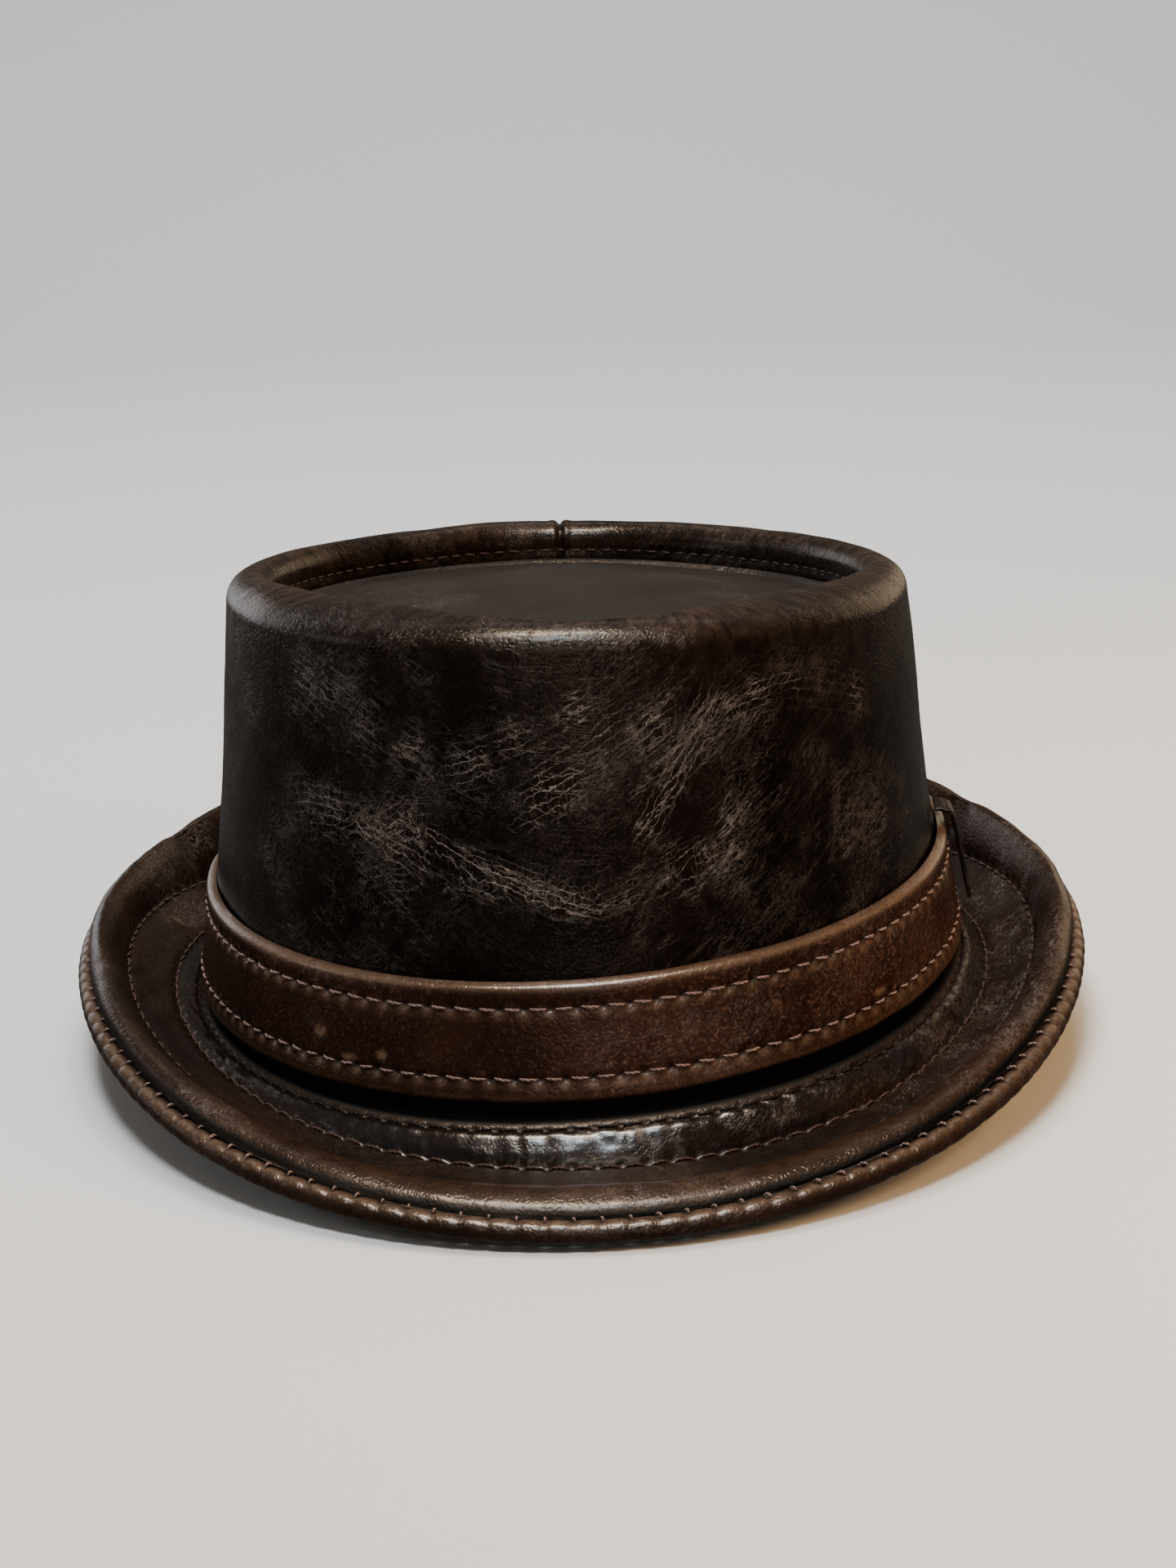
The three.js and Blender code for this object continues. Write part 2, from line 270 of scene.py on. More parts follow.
# Raised and sunken rings near the tip's edge: share of the way from the middle, width and height in metres
TIP_RINGS = ((0.972, 0.014, 0.0011), (0.94, 0.014, -0.0006))
TIP_WAVE = 0.0009
TIP_EDGE = 0.0007

# Shares of the band's height where its two seams run
BAND_SEAMS = (0.205, 0.79)

# Widths of a band seam's groove, welt and the painted shade in its holes, and the pucker's distance below it
# and width, as shares of the band's height. Then the middles and widths of the rubbed ridges at its top and
# its foot, whose paler leather is partly a painted highlight at the top.
BAND_GROOVE = 0.035
BAND_WELT = 0.085
BAND_HOLE_SHADE = 0.022
BAND_PUCKER = (0.052, 0.038)
BAND_RIDGE = (0.975, 0.03)
BAND_FOOT = (0.05, 0.035)

# The keeper's angle round the hat, and its stops: share of its rise above the band, share of the band's
# height below the top, and share of the way from the wall to its face
KEEPER_ANGLE = 84
KEEPER_STOPS = table(
    "rise drop reach",
    (1.0, 0.0, 0.0),
    (0.95, 0.0, 0.6),
    (0.35, 0.0, 0.98),
    (0.0, 0.35, 1.2),
    (0.0, 0.75, 1.36),
)

# How blunt the keeper's section is across its thickness and its width, and how its ends taper: by how much
# of the thickness, and over which share of its length
KEEPER_BLUNT = (0.6, 0.35)
KEEPER_TAPER = (0.75, 0.012)

# In the tables below, left and right are as seen from in front.

# Dents and folds of the brim: angle and width in degrees, line across, spread in lines, depth in metres
BRIM_DENTS = table(
    "name angle width at spread depth",
    ("left kink", 243, 2.6, 6.4, 1.5, 0.0026),
    ("right kink", 117, 2.6, 6.4, 1.5, 0.0026),
    ("left wave", 262, 9.0, 4.4, 1.1, 0.0009),
    ("right wave", 82, 8.0, 4.2, 0.9, 0.0010),
    ("right fold", 63, 3.5, 4.1, 0.8, 0.0010),
)

# Dents of the crown's wall: angle and width in degrees, share of height, spread, depth in metres
CROWN_DENTS = table(
    "name angle width at spread depth",
    ("front left", -24, 16, 0.50, 0.22, 0.0010),
    ("front right", 33, 14, 0.42, 0.25, 0.0012),
    ("front crease", 4, 7, 0.62, 0.16, -0.0008),
    ("left", -70, 15, 0.56, 0.22, 0.0008),
    ("right", 76, 15, 0.55, 0.25, 0.0009),
    ("back", 160, 20, 0.5, 0.25, 0.0010),
    ("back left", 215, 18, 0.6, 0.2, 0.0009),
)

# Creased stretches of the crown's wall: ends as angle in degrees and share of height, then how far the line
# between them bows, its width, both in degrees, and the strength of its creases
CROWN_CREASES = table(
    "name from_angle from_rise to_angle to_rise bow width strength",
    ("main left", -24, 0.635, 3, 0.475, -1.2, 1.8, 1.6),
    ("main left soft", -33, 0.69, -2, 0.485, -1.0, 4.0, 0.8),
    ("main right", -3, 0.48, 25, 0.67, -2.0, 2.4, 0.65),
    ("bright spot", -36, 0.66, -22, 0.56, 0.0, 3.0, 1.2),
    ("upper left", -52, 0.93, -20, 0.76, 1.0, 4.0, 0.6),
    ("upper middle", -21, 0.76, 3, 0.91, -1.0, 4.0, 0.6),
    ("rising low", -12, 0.68, 14, 0.90, 0.0, 4.6, 0.85),
    ("rising high", 5, 0.56, 22, 0.92, 0.0, 3.0, 0.65),
    ("upper right", 20, 0.87, 51, 0.83, 3.0, 3.4, 0.6),
    ("left", -51, 0.64, -21, 0.64, 1.0, 4.0, 0.7),
    ("right foot", 6, 0.50, 24, 0.60, 0.0, 5.0, 0.55),
    ("left haze", -36, 0.50, -14, 0.60, 0.0, 8.0, 0.45),
    ("broad web", -42, 0.74, 18, 0.72, 0.0, 15.0, 0.24),
    ("far right", 40, 0.56, 62, 0.50, 0.0, 6.0, 0.30),
    ("back one", 140, 0.35, 175, 0.70, 4.0, 5.0, 0.7),
    ("back two", 178, 0.62, 225, 0.82, -4.0, 6.0, 0.7),
    ("back web", 120, 0.60, 240, 0.66, 0.0, 16.0, 0.30),
)

# The wall's height counted in degrees, and where along a crease it begins and ends to fade
WALL_DEGREES = 62.0
CREASE_FADE = (0.75, 1.15)

# Scuffs of the crown's wall: angle and width in degrees, share of height and spread
CROWN_SCUFFS = table(
    "name angle width at spread",
    ("upper right", 42.5, 1.6, 0.60, 0.006),
    ("lower right", 51.5, 0.7, 0.33, 0.020),
    ("low middle", 18.5, 0.9, 0.27, 0.012),
    ("high right", 47.0, 0.35, 0.81, 0.009),
    ("right of middle", 21.5, 0.8, 0.36, 0.010),
    ("back", 190, 1.4, 0.55, 0.010),
)

# Rub marks of the band: angle and width in degrees, share of height and spread
BAND_SCUFFS = table(
    "name angle width at spread",
    ("left", -39.5, 1.5, 0.42, 0.07),
    ("left low", -34.0, 2.2, 0.26, 0.05),
    ("left middle", -29.0, 1.2, 0.33, 0.06),
    ("right", 44.0, 1.8, 0.30, 0.05),
    ("back", 150, 2.0, 0.5, 0.06),
)

# Unevenness of worked leather: cells across and round, seed, and height in metres
UNEVENNESS = {
    "crown": ((7, 26, 3, 0.00028), (16, 60, 4, 0.00012)),
    "brim edge": ((6, 46, 45, 0.00030), (12, 200, 46, 0.00010)),
    "band": ((5, 70, 71, 0.00016), (2, 18, 72, 0.00022)),
}

# A stitch's reach in steps, and its rise and its random spreads in radii of the thread
STITCH_REACH = 0.74
STITCH_LIFT = 0.9
REACH_SPREAD = 0.06
LIFT_SPREAD = 0.18
LEAN_SPREAD = 0.5


# Numbers on grids

def unit(value):
    """A value held between 0 and 1."""
    return np.clip(value, 0, 1)


def smooth(low, high, value):
    """Smoothstep: 0 below low, 1 above high, an S curve between."""
    t = unit((value - low) / (high - low))
    return t * t * (3 - 2 * t)


def bump_at(value, centre, width):
    """A bell of height 1 at the centre."""
    return np.exp(-(((value - centre) / width) ** 2))


def angle_gap(angle, degrees):
    """The signed distance round the hat from an angle, in degrees."""
    return (np.degrees(angle) - degrees + 180) % 360 - 180


def spot(mark, angle, across):
    """A bell in angle times a bell across the leather, at a mark's place and of its size."""
    reach = bump_at(angle_gap(angle, mark["angle"]), 0, mark["width"])
    return reach * bump_at(across, mark["at"], mark["spread"])


def lattice_noise(across, along, cells_across, cells_along, seed):
    """Random heights on a lattice, joined by S curves; it repeats after one turn along the second axis."""
    rng = np.random.default_rng(seed)
    heights = rng.uniform(-1, 1, (cells_across + 2, cells_along))
    x = unit(across) * cells_across
    y = (along % 1.0) * cells_along
    i = np.floor(x).astype(int)
    j = np.floor(y).astype(int)
    fx = smooth(0, 1, x - i)
    fy = smooth(0, 1, y - j)
    j0 = j % cells_along
    j1 = (j + 1) % cells_along
    low = heights[i, j0] * (1 - fy) + heights[i, j1] * fy
    high = heights[i + 1, j0] * (1 - fy) + heights[i + 1, j1] * fy
    return low * (1 - fx) + high * fx


def unevenness(name, across, along):
    """The summed lattice noises of one row of the table."""
    return sum(
        height * lattice_noise(across, along, cells_across, cells_along, seed)
        for cells_across, cells_along, seed, height in UNEVENNESS[name]
    )


def patchy(middle, across, along, cells_across, cells_along, seed):
    """A factor of 1 at its highest that wanders about its middle by lattice noise."""
    return middle + (1 - middle) * lattice_noise(across, along, cells_across, cells_along, seed)


def folds(noise):
    """Sharp ridges where noise is near 0 and hollows between: 1 less twice its size."""
    return 1 - np.abs(noise) * 2


def through(rows, place):
    """A Catmull-Rom curve through rows of points, read at places counted in rows."""
    last = len(rows) - 1
    i = np.clip(np.floor(place).astype(int), 0, last - 1)
    t = (place - i).reshape((-1,) + (1,) * (rows.ndim - 1))
    a = rows[np.clip(i - 1, 0, last)]
    b = rows[i]
    c = rows[i + 1]
    d = rows[np.clip(i + 2, 0, last)]
    return 0.5 * (2 * b + (c - a) * t + (2 * a - 5 * b + 4 * c - d) * t**2 + (3 * b - a - 3 * c + d) * t**3)


def unit_vectors(vectors):
    """Vectors made one long."""
    return vectors / np.linalg.norm(vectors, axis=-1, keepdims=True)


def side_of(line):
    """The unit normal on the lower side of a profile line, and the tangent that it is a quarter turn from."""
    tangent = unit_vectors(np.gradient(line, axis=0))
    return np.stack([tangent[..., 1], -tangent[..., 0]], -1), tangent


def wall_loop(line, thickness, side=1, coarse=3):
    """A closed section: the line, a half circle round its end, the line moved sideways, a half circle.

    The moved line keeps only every few points, and side -1 moves it to the line's upper side.
    """
    normal, tangent = side_of(line)
    normal = normal * side
    half = thickness / 2
    back = (line + normal * thickness)[::-1]
    keep = np.unique(np.append(np.arange(0, len(back), coarse), len(back) - 1))
    swing = np.linspace(0, math.pi, 5)[1:-1].reshape(-1, 1, 1)
    end = line[-1] + normal[-1] * half * (1 - np.cos(swing)) + tangent[-1] * half * np.sin(swing)
    start = line[0] + normal[0] * half * (1 + np.cos(swing)) - tangent[0] * half * np.sin(swing)
    return np.concatenate([line, end, back[keep], start])


def denser_near(places, start, stop, count, width, gain):
    """Places from start to stop that crowd near the given places: equal steps of a summed density."""
    fine = np.linspace(start, stop, 4000)
    density = 1 + gain * sum(bump_at(fine, place, width) for place in places)
    total = np.concatenate([[0], np.cumsum((density[1:] + density[:-1]) / 2)])
    return np.interp(np.linspace(0, total[-1], count), total, fine)


def after_start(count):
    """Even shares up to 1, without the 0 that the part before ends on."""
    return np.linspace(0, 1, count + 1)[1:].reshape(-1, 1)


def on_loop(part, points):
    """Values of a loop's first rows, with zeros on the rest of the loop."""
    whole = np.zeros(points.shape[:2])
    whole[: len(part)] = part
    return whole


def lifted(points, relief, row, way):
    """A ring moved by its relief along its outward normals, and those normals.

    A normal is the cross product of the grid's differences both ways. Outward is the side that the
    given way points to at the front of one row.
    """
    along = np.roll(points, -1, 1) - np.roll(points, 1, 1)
    across = np.roll(points, -1, 0) - np.roll(points, 1, 0)
    normals = np.cross(along, across)
    normals = normals / np.maximum(np.linalg.norm(normals, axis=-1, keepdims=True), 1e-12)
    if normals[row, 0] @ np.array(way) < 0:
        normals = -normals
    return points + normals * on_loop(relief, points)[..., None], normals


# Meshes from grids

def mesh_object(name, points, quads, triangles=None, uv=None, attributes=None):
    """A smooth mesh object at the origin from points, quads and triangles, and values on its points."""
    triangles = np.zeros((0, 3), int) if triangles is None else triangles
    mesh = bpy.data.meshes.new(name)
    corners = np.concatenate([quads.ravel(), triangles.ravel()])
    totals = np.concatenate([np.full(len(quads), 4), np.full(len(triangles), 3)])
    starts = np.concatenate([[0], np.cumsum(totals)[:-1]])
    mesh.vertices.add(len(points))
    mesh.vertices.foreach_set("co", points.astype(np.float32).ravel())
    mesh.loops.add(len(corners))
    mesh.loops.foreach_set("vertex_index", corners.astype(np.int32))
    mesh.polygons.add(len(totals))
    mesh.polygons.foreach_set("loop_start", starts.astype(np.int32))
    mesh.polygons.foreach_set("loop_total", totals.astype(np.int32))
    if uv is not None:
        layer = mesh.uv_layers.new(name="surface")
        layer.data.foreach_set("uv", uv.astype(np.float32).ravel())
    for key, values in (attributes or {}).items():
        layer = mesh.attributes.new(key, "FLOAT", "POINT")
        layer.data.foreach_set("value", values.astype(np.float32).ravel())
    mesh.update(calc_edges=True)
    mesh.validate()
    mesh.shade_smooth()
    piece = bpy.data.objects.new(name, mesh)
    bpy.context.scene.collection.objects.link(piece)
    return piece


def grid_faces(rows, columns, closed_rows=False):
    """Quads of a grid that closes along its columns, and maybe its rows, and their corners' places in it."""
    r, c = np.meshgrid(np.arange(rows if closed_rows else rows - 1), np.arange(columns), indexing="ij")
    corners = np.stack([r, c], -1)[:, :, None] + np.array([(0, 0), (0, 1), (1, 1), (1, 0)])
    flat = (corners[..., 0] % rows) * columns + corners[..., 1] % columns
    return flat.reshape(-1, 4), corners.reshape(-1, 4, 2)


def face_outward(points, quads):
    """Whether quads face outwards: the volume inside them, summed over their triangles, is positive."""
    a, b, c, d = (points[quads[:, k]] for k in range(4))
    volume = np.einsum("ij,ij->i", a, np.cross(b, c)).sum() + np.einsum("ij,ij->i", a, np.cross(c, d)).sum()
    return volume > 0


def ring_piece(name, points, attributes=None):
    """A closed ring of leather from a grid: sections down, steps round the hat across."""
    rows, columns = points.shape[:2]
    faces, corners = grid_faces(rows, columns, True)
    flat = points.reshape(-1, 3)
    uv = np.stack([corners[..., 1] / columns, corners[..., 0] / rows], -1)
    if not face_outward(flat, faces):
        faces = faces[:, ::-1]
        uv = uv[:, ::-1]
    values = {key: on_loop(part, points) for key, part in (attributes or {}).items()}
    return mesh_object(name, flat, faces, uv=uv.reshape(-1, 2), attributes=values)


def end_fans(rows, columns, first_hub, last_hub):
    """Triangles from two hub points to the first and the last row of a grid."""
    ring = np.arange(columns)
    after = (ring + 1) % columns
    start = (rows - 1) * columns
    first = np.stack([ring * 0 + first_hub, after, ring], -1)
    last = np.stack([ring * 0 + last_hub, start + ring, start + after], -1)
    return [first, last]


def closed_body(name, points, quads, fans, uv=None):
    """A closed body of quads with fans of triangles at its ends, turned outward."""
    triangles = np.concatenate(fans)
    if not face_outward(points, quads):
        quads = quads[:, ::-1]
        triangles = triangles[:, ::-1]
        uv = None if uv is None else uv[:, ::-1]
    if uv is not None:
        uv = np.concatenate([uv.reshape(-1, 2), np.zeros((triangles.size, 2))])
    return mesh_object(name, points, quads, triangles, uv)


def capped_body(name, points):
    """A closed body from a grid that closes along its columns, with a fan to the middle of each end row."""
    rows, columns = points.shape[:2]
    faces, _ = grid_faces(rows, columns)
    flat = np.concatenate([points.reshape(-1, 3), [points[0].mean(0), points[-1].mean(0)]])
    return closed_body(name, flat, faces, end_fans(rows, columns, len(flat) - 2, len(flat) - 1))


# The hat's form

class HatForm:
    """The hat's lines as formulas of the angle round it: 0 in front, a quarter turn at +X."""

    def __init__(self, scene):
        self.crown = scene.hat_crown
        self.brim = scene.hat_brim
        self.band = scene.hat_band
        self.thread = scene.hat_thread
        self.shift = CROWN_LOW.y + self.crown.front_length
        self.angle = np.linspace(0, TURN, scene.hat_finish.steps_round, endpoint=False)

    def place(self, angle, out, height):
        """The foot ellipse's point at the angle, moved out along the ellipse's normal."""
        s = np.sin(angle)
        c = np.cos(angle)
        reach = np.where(c >= 0, self.crown.front_length, self.crown.back_length)
        nx = s / self.crown.half_width
        ny = -c / reach
        n = np.hypot(nx, ny)
        x = self.crown.half_width * s + out * nx / n
        y = -reach * c + out * ny / n + self.shift
        return np.stack([x, y, height + 0 * x], -1)

    def carried(self, angle, section):
        """A section of outs and heights, placed at each angle round the hat."""
        return self.place(angle, section[..., 0], section[..., 1])

    def shares(self, angle):
        """Squares of the sine and of the cosine in front and behind; they add up to 1."""
        s = np.sin(angle)
        c = np.cos(angle)
        return s**2, np.maximum(c, 0) ** 2, np.maximum(-c, 0) ** 2

    def resting_top(self):
        """Height of the brim's top where it rests: both layers and their gap, less the flattening."""
        b = self.brim
        return b.upper_leather + b.gap + b.under_leather - b.rest

    def brim_rows(self, angle):
        """Out and height of each line of the brim, from its shares of the rises front, side and back.

        The rise at the sides is the sine squared to a power that falls to 1 toward the edge.
        """
        side, front, back = self.shares(angle)
        b = self.brim
        width = b.side * side + b.front * front + b.back * back
        step = b.step * (front + back + SIDE_STEP * side) + self.band.slant * np.sin(angle)
        rows = []
        for row in BRIM_LINES:
            out = row["inner"] * b.third_seam + row["outer"] * (width - b.third_seam)
            power = SIDE_POWER + (1 - SIDE_POWER) * row["outer"]
            height = (
                self.resting_top()
                + row["step"] * step
                + b.side_rise * row["side"] * side**power
                + b.front_roll * row["front"] * front
                + b.back_rise * row["back"] * back
            )
            rows.append(np.stack([out, height], -1))
        return np.stack(rows)

    def foot_top(self, angle):
        """Height of the brim's top at the crown."""
        return self.brim_rows(angle)[0][..., 1]

    def foot_bottom(self, angle):
        """Height of the crown's lower edge: under both layers of the brim."""
        b = self.brim
        return self.foot_top(angle) - b.upper_leather - b.gap - b.under_leather

    def crest(self, angle):
        """Height of the rim: the crown's height, a slope toward the front and a slight tilt."""
        return self.crown.height + self.crown.slope * np.cos(angle) - self.crown.tilt * np.sin(angle)

    def crest_inset(self, angle):
        """How far the rim lies inside the foot line: more on the diagonals, for a softly pointed oval."""
        point = np.where(np.cos(angle) > 0, self.crown.front_point, self.crown.back_point)
        return self.crown.shoulder + self.crown.roll_height + point * np.sin(2 * angle) ** 2

    def wall_out(self, angle, height):
        """Offset of the crown's wall: it leans in steadily from its foot to its shoulder."""
        low = self.foot_bottom(angle)
        high = self.crest(angle) - self.crown.roll_height
        return -self.crown.shoulder * (height - low) / (high - low)

    def band_low(self, angle):
        """Height of the band's lower edge: clear of the brim, and slanting."""
        front, right, back, left = self.foot_top(np.arange(4) * TURN / 4)
        return max(front, back, (left + right) / 2) + self.band.clear + self.band.slant * np.sin(angle)

    def stitch_phase(self, line, pitch):
        """Stitches counted along a closed line of points, fitted to a whole number of them."""
        step = np.linalg.norm(np.roll(line, -1, 0) - line, axis=-1)
        arc = np.concatenate([[0], np.cumsum(step)])
        count = int(round(arc[-1] / pitch))
        return arc[:-1] / arc[-1] * count, count


def pulled(phase, sharp=3):
    """1 where a stitch goes into the leather and 0 half way along it: a raised cosine."""
    return (0.5 + 0.5 * np.cos(TURN * phase)) ** sharp


# Crown

def crown_line(form):
    """Out and height along the outside of the crown, from its foot up, over the rim and down to the tip.

    The wall is a straight lean, the rim's outside a quarter ellipse, its inside a quarter circle,
    and the recess wall a straight drop.
    """
    c = form.crown
    low = form.foot_bottom(form.angle)
    top = form.crest(form.angle)
    shoulder = top - c.roll_height
    middle = -form.crest_inset(form.angle)
    reach = -c.shoulder - middle
    height = low + (shoulder - low) * np.linspace(0, 1, WALL_ROWS).reshape(-1, 1)
    wall = np.stack([form.wall_out(form.angle, height), height], -1)
    swing = after_start(OUTSIDE_ROWS) * math.pi / 2
    outside = np.stack([middle + reach * np.cos(swing), shoulder + c.roll_height * np.sin(swing)], -1)
    swing = after_start(INSIDE_ROWS) * math.pi / 2
    inside = np.stack([middle - c.roll_inside * np.sin(swing), top - c.roll_inside * (1 - np.cos(swing))], -1)
    drop = after_start(RECESS_ROWS)
    start = top - c.roll_inside
    recess = np.stack([middle - c.roll_inside + 0 * drop, start + (top - c.recess - start) * drop], -1)
    return np.concatenate([wall, outside, inside, recess])


def crown_relief(angle):
    """Heights of the crown's dents, seam and unevenness, and its wear and scuffs, row by row.

    Dents are bells in angle and height, and the back seam is a groove between two ridges, all bells in
    angle. The rim's paler rubbed leather, partly a painted highlight, is a bell over the rim, broken up by
    lattice noise.
    """
    total = WALL_ROWS + OUTSIDE_ROWS + INSIDE_ROWS + RECESS_ROWS
    rows = np.arange(total).reshape(-1, 1)
    rise = unit(rows / (WALL_ROWS - 1))
    on_wall = rows < WALL_ROWS
    turn = angle / TURN
    face = rows / total
    relief = unevenness("crown", face, turn) * (rows < total - RECESS_ROWS)
    relief -= on_wall * sum(dent["depth"] * spot(dent, angle, rise) for dent in CROWN_DENTS)
    seam_gap = np.abs(angle_gap(angle, 180))
    relief -= BACK_SEAM["depth"] * bump_at(seam_gap, 0, BACK_SEAM["width"])
    relief += BACK_SEAM["ridge"] * bump_at(seam_gap, BACK_SEAM["away"], BACK_SEAM["ridge_width"])
    rim = bump_at(rows, WALL_ROWS + OUTSIDE_ROWS, OUTSIDE_ROWS * 0.9)
    # The rim's paler rubbed leather, partly a painted highlight
    wear = rim * patchy(0.5, face, turn, 30, 400, 5) * patchy(0.6, face, turn, 3, 16, 6)
    scuff = on_wall * np.max([spot(mark, angle, rise) for mark in CROWN_SCUFFS], axis=0)
    return relief, unit(wear), unit(scuff * patchy(0.6, face, turn, 110, 700, 7))


def crease_guide(angle, rise):
    """How near each point lies to a long crease, and how far to its side.

    The nearness is a bell about a short arc, in degrees with height counted as angle. The arc between
    two ends bows sideways by a parabola, and the strongest crease counts.
    """
    guide = np.zeros((rise.shape[0], len(angle)))
    beside = np.zeros_like(guide)
    for crease in CROWN_CREASES:
        start = np.array([crease["from_angle"], crease["from_rise"] * WALL_DEGREES])
        end = np.array([crease["to_angle"], crease["to_rise"] * WALL_DEGREES])
        run = end - start
        across = np.array([-run[1], run[0]]) / np.hypot(*run)
        middle = (start + end) / 2
        dx = angle_gap(angle, middle[0])[None, :] + 0 * rise
        dy = rise * WALL_DEGREES - middle[1]
        along = (dx * run[0] + dy * run[1]) / (run @ run) * 2
        off = dx * across[0] + dy * across[1] - crease["bow"] * (1 - along**2)
        fade = 1 - smooth(*CREASE_FADE, np.abs(along))
        near = crease["strength"] * fade * bump_at(off, 0, crease["width"])
        beside = np.where(near > guide, off, beside)
        guide = np.maximum(guide, near)
    return guide, beside


def make_crown_side(form):
    """The crown's side with its rolled rim: the crown line given a thickness and its relief."""
    line = crown_line(form)
    relief, wear, scuff = crown_relief(form.angle)
    rows = np.arange(len(line)).reshape(-1, 1)
    phase, _ = form.stitch_phase(form.carried(form.angle, line[RIM_SEAM_ROW]), form.thread.pitch * RIM_PITCH)
    groove = bump_at(rows, RIM_SEAM_ROW, 1.2) * (0.5 + 0.5 * pulled(phase))
    relief -= form.thread.dip * RIM_DIP * groove
    loop = wall_loop(line, form.crown.leather, side=-1, coarse=8)
    points, normals = lifted(form.carried(form.angle, loop), relief, 5, (0, -1, 0))
    rise = np.clip(rows / (WALL_ROWS - 1), 0, 1.2)
    guide, beside = crease_guide(form.angle, rise)
    on_wall = rows < WALL_ROWS
    # Painted shade: the crown's strip below the band is darkened where the band and the brim shade it
    under_band = (1 - smooth(0.1, 0.17, rise)) * on_wall
    values = {"wear": wear, "scuff": scuff, "crease": guide * on_wall, "beside": beside, "pit": under_band}
    piece = ring_piece("crown_side_leather", points, values)
    return piece, points[RIM_SEAM_ROW], normals[RIM_SEAM_ROW]


def make_crown_tip(form):
    """The sunken top: rings shrunk toward the middle, each lifted by a dome of 1 less the share squared.

    A shallow groove runs just inside the edge, and a low wave keeps the panel from looking turned.
    """
    c = form.crown
    angle = np.linspace(0, TURN, TIP_STEPS, endpoint=False)
    share = np.concatenate([np.linspace(1, 0.9, 16), np.linspace(0.9, 0.004, 44)[1:]]).reshape(-1, 1)
    edge = form.place(angle, -form.crest_inset(angle) - c.roll_inside - form.brim.gap, 0)
    centre = np.array([0, form.shift])
    xy = centre + (edge[:, :2] - centre) * share[..., None]
    level = form.crest(angle) - c.height
    wave = TIP_WAVE * lattice_noise(1 - share, angle / TURN, 5, 9, 21) * smooth(0, 0.4, 1 - share) * share
    rings = sum(height * bump_at(share, at, width) for at, width, height in TIP_RINGS)
    top = c.height - c.recess + level * share + c.tip_dome * (1 - share**2) + c.tip_leather + wave + rings
    top = top - TIP_EDGE * smooth(0.985, 1.0, share)
    upper = np.concatenate([xy, top[..., None]], -1)
    lower = upper[::6].copy()
    lower[..., 2] -= c.tip_leather
    return capped_body("crown_tip_leather", np.concatenate([upper[::-1], lower]))


# Brim

def zone(start, stop, place):
    """1 between two spans and 0 outside them, with an S curve over each."""
    return smooth(*start, place) * (1 - smooth(*stop, place))


def brim_relief(form, place):
    """Heights of the brim's seams, wrinkles, dents and unevenness, its rubbed edge with painted highlight,
    its polish and its painted shade.

    A stitch row is a groove that is deepest at its holes, so its depth is a bell across times a raised
    cosine along, with a low welt outside it. Between the first two rows the leather is padded by half a
    sine wave and wrinkled by lattice noise drawn out across it, by bells in angle stronger at two places.
    Dents are bells in angle and line.
    """
    angle = form.angle
    rows = form.brim_rows(angle)
    p = place.reshape(-1, 1)
    across = p / LAST_LINE
    turn = angle / TURN
    relief = np.zeros((len(place), len(angle)))
    # Painted shade at the crown's foot and in the groove before the lip; the stitch holes and the flat get
    # more below
    pit = np.maximum(1 - smooth(*FOOT_SHADE, p), smooth(*EDGE_SHADE, p))
    for seam in BRIM_SEAMS:
        line = seam["line"]
        phase, _ = form.stitch_phase(form.carried(angle, rows[line]), form.thread.brim_pitch)
        groove = seam["depth"] * bump_at(p, line, seam["width"]) * (0.45 + 0.75 * pulled(phase))
        welt = SEAM_WELT["height"] * bump_at(p, line + SEAM_WELT["away"], SEAM_WELT["width"])
        welt = welt * (0.4 + 0.6 * (1 - pulled(phase, 1)))
        relief += form.thread.dip * (welt - groove)
        pit = np.maximum(pit, bump_at(p, line, seam["width"] * 0.55) * pulled(phase, 6))
    span = unit((p - FIRST_SEAM) / (SECOND_SEAM - FIRST_SEAM))
    between = zone(*BETWEEN_SEAMS, p)
    busy = WRINKLED_REST + sum(gain * bump_at(angle_gap(angle, at), 0, width) for at, width, gain in WRINKLED)
    drift = 0.012 * lattice_noise(span, turn, 3, 24, 40)
    broad = lattice_noise(span * 0.6, turn + drift, 1, 118, 49)
    ridges = folds(lattice_noise(span * 0.4, turn + drift, 2, 230, 41))
    fine = folds(lattice_noise(span, turn + drift * 2, 4, 320, 42))
    relief += between * busy * (BROAD_WRINKLES * broad + SHARP_WRINKLES * ridges + FINE_WRINKLES * fine)
    relief += between * PADDING * np.sin(math.pi * span)
    flat = zone(*FLAT_ZONE, p)
    fold = folds(lattice_noise(across, turn + 0.02 * lattice_noise(across, turn, 8, 30, 43), 16, 110, 44))
    relief += flat * (0.3 + 0.7 * np.sin(angle) ** 2) * FLAT_FOLDS * fold
    # Painted shade over the flat, patterned by its folds
    pit = np.maximum(pit, 0.4 * flat * (0.6 + 0.4 * fold))
    relief -= sum(dent["depth"] * spot(dent, angle, p) for dent in BRIM_DENTS)
    relief -= EDGE_DROP * smooth(*EDGE_ZONE, p)
    relief += smooth(*ROLL_ZONE, p) * unevenness("brim edge", across, turn)
    # Paler rubbed leather beyond the crest, more in front: partly a painted highlight
    front_weight = 0.35 + 0.65 * form.shares(angle)[1]
    wear = bump_at(p, CREST + 0.7, 1.2) * patchy(0.62, across, turn, 20, 300, 47) * front_weight
    polish = between * patchy(0.6, span, turn, 2, 40, 48)
    return relief, {"wear": unit(wear), "polish": unit(polish), "pit": unit(pit)}


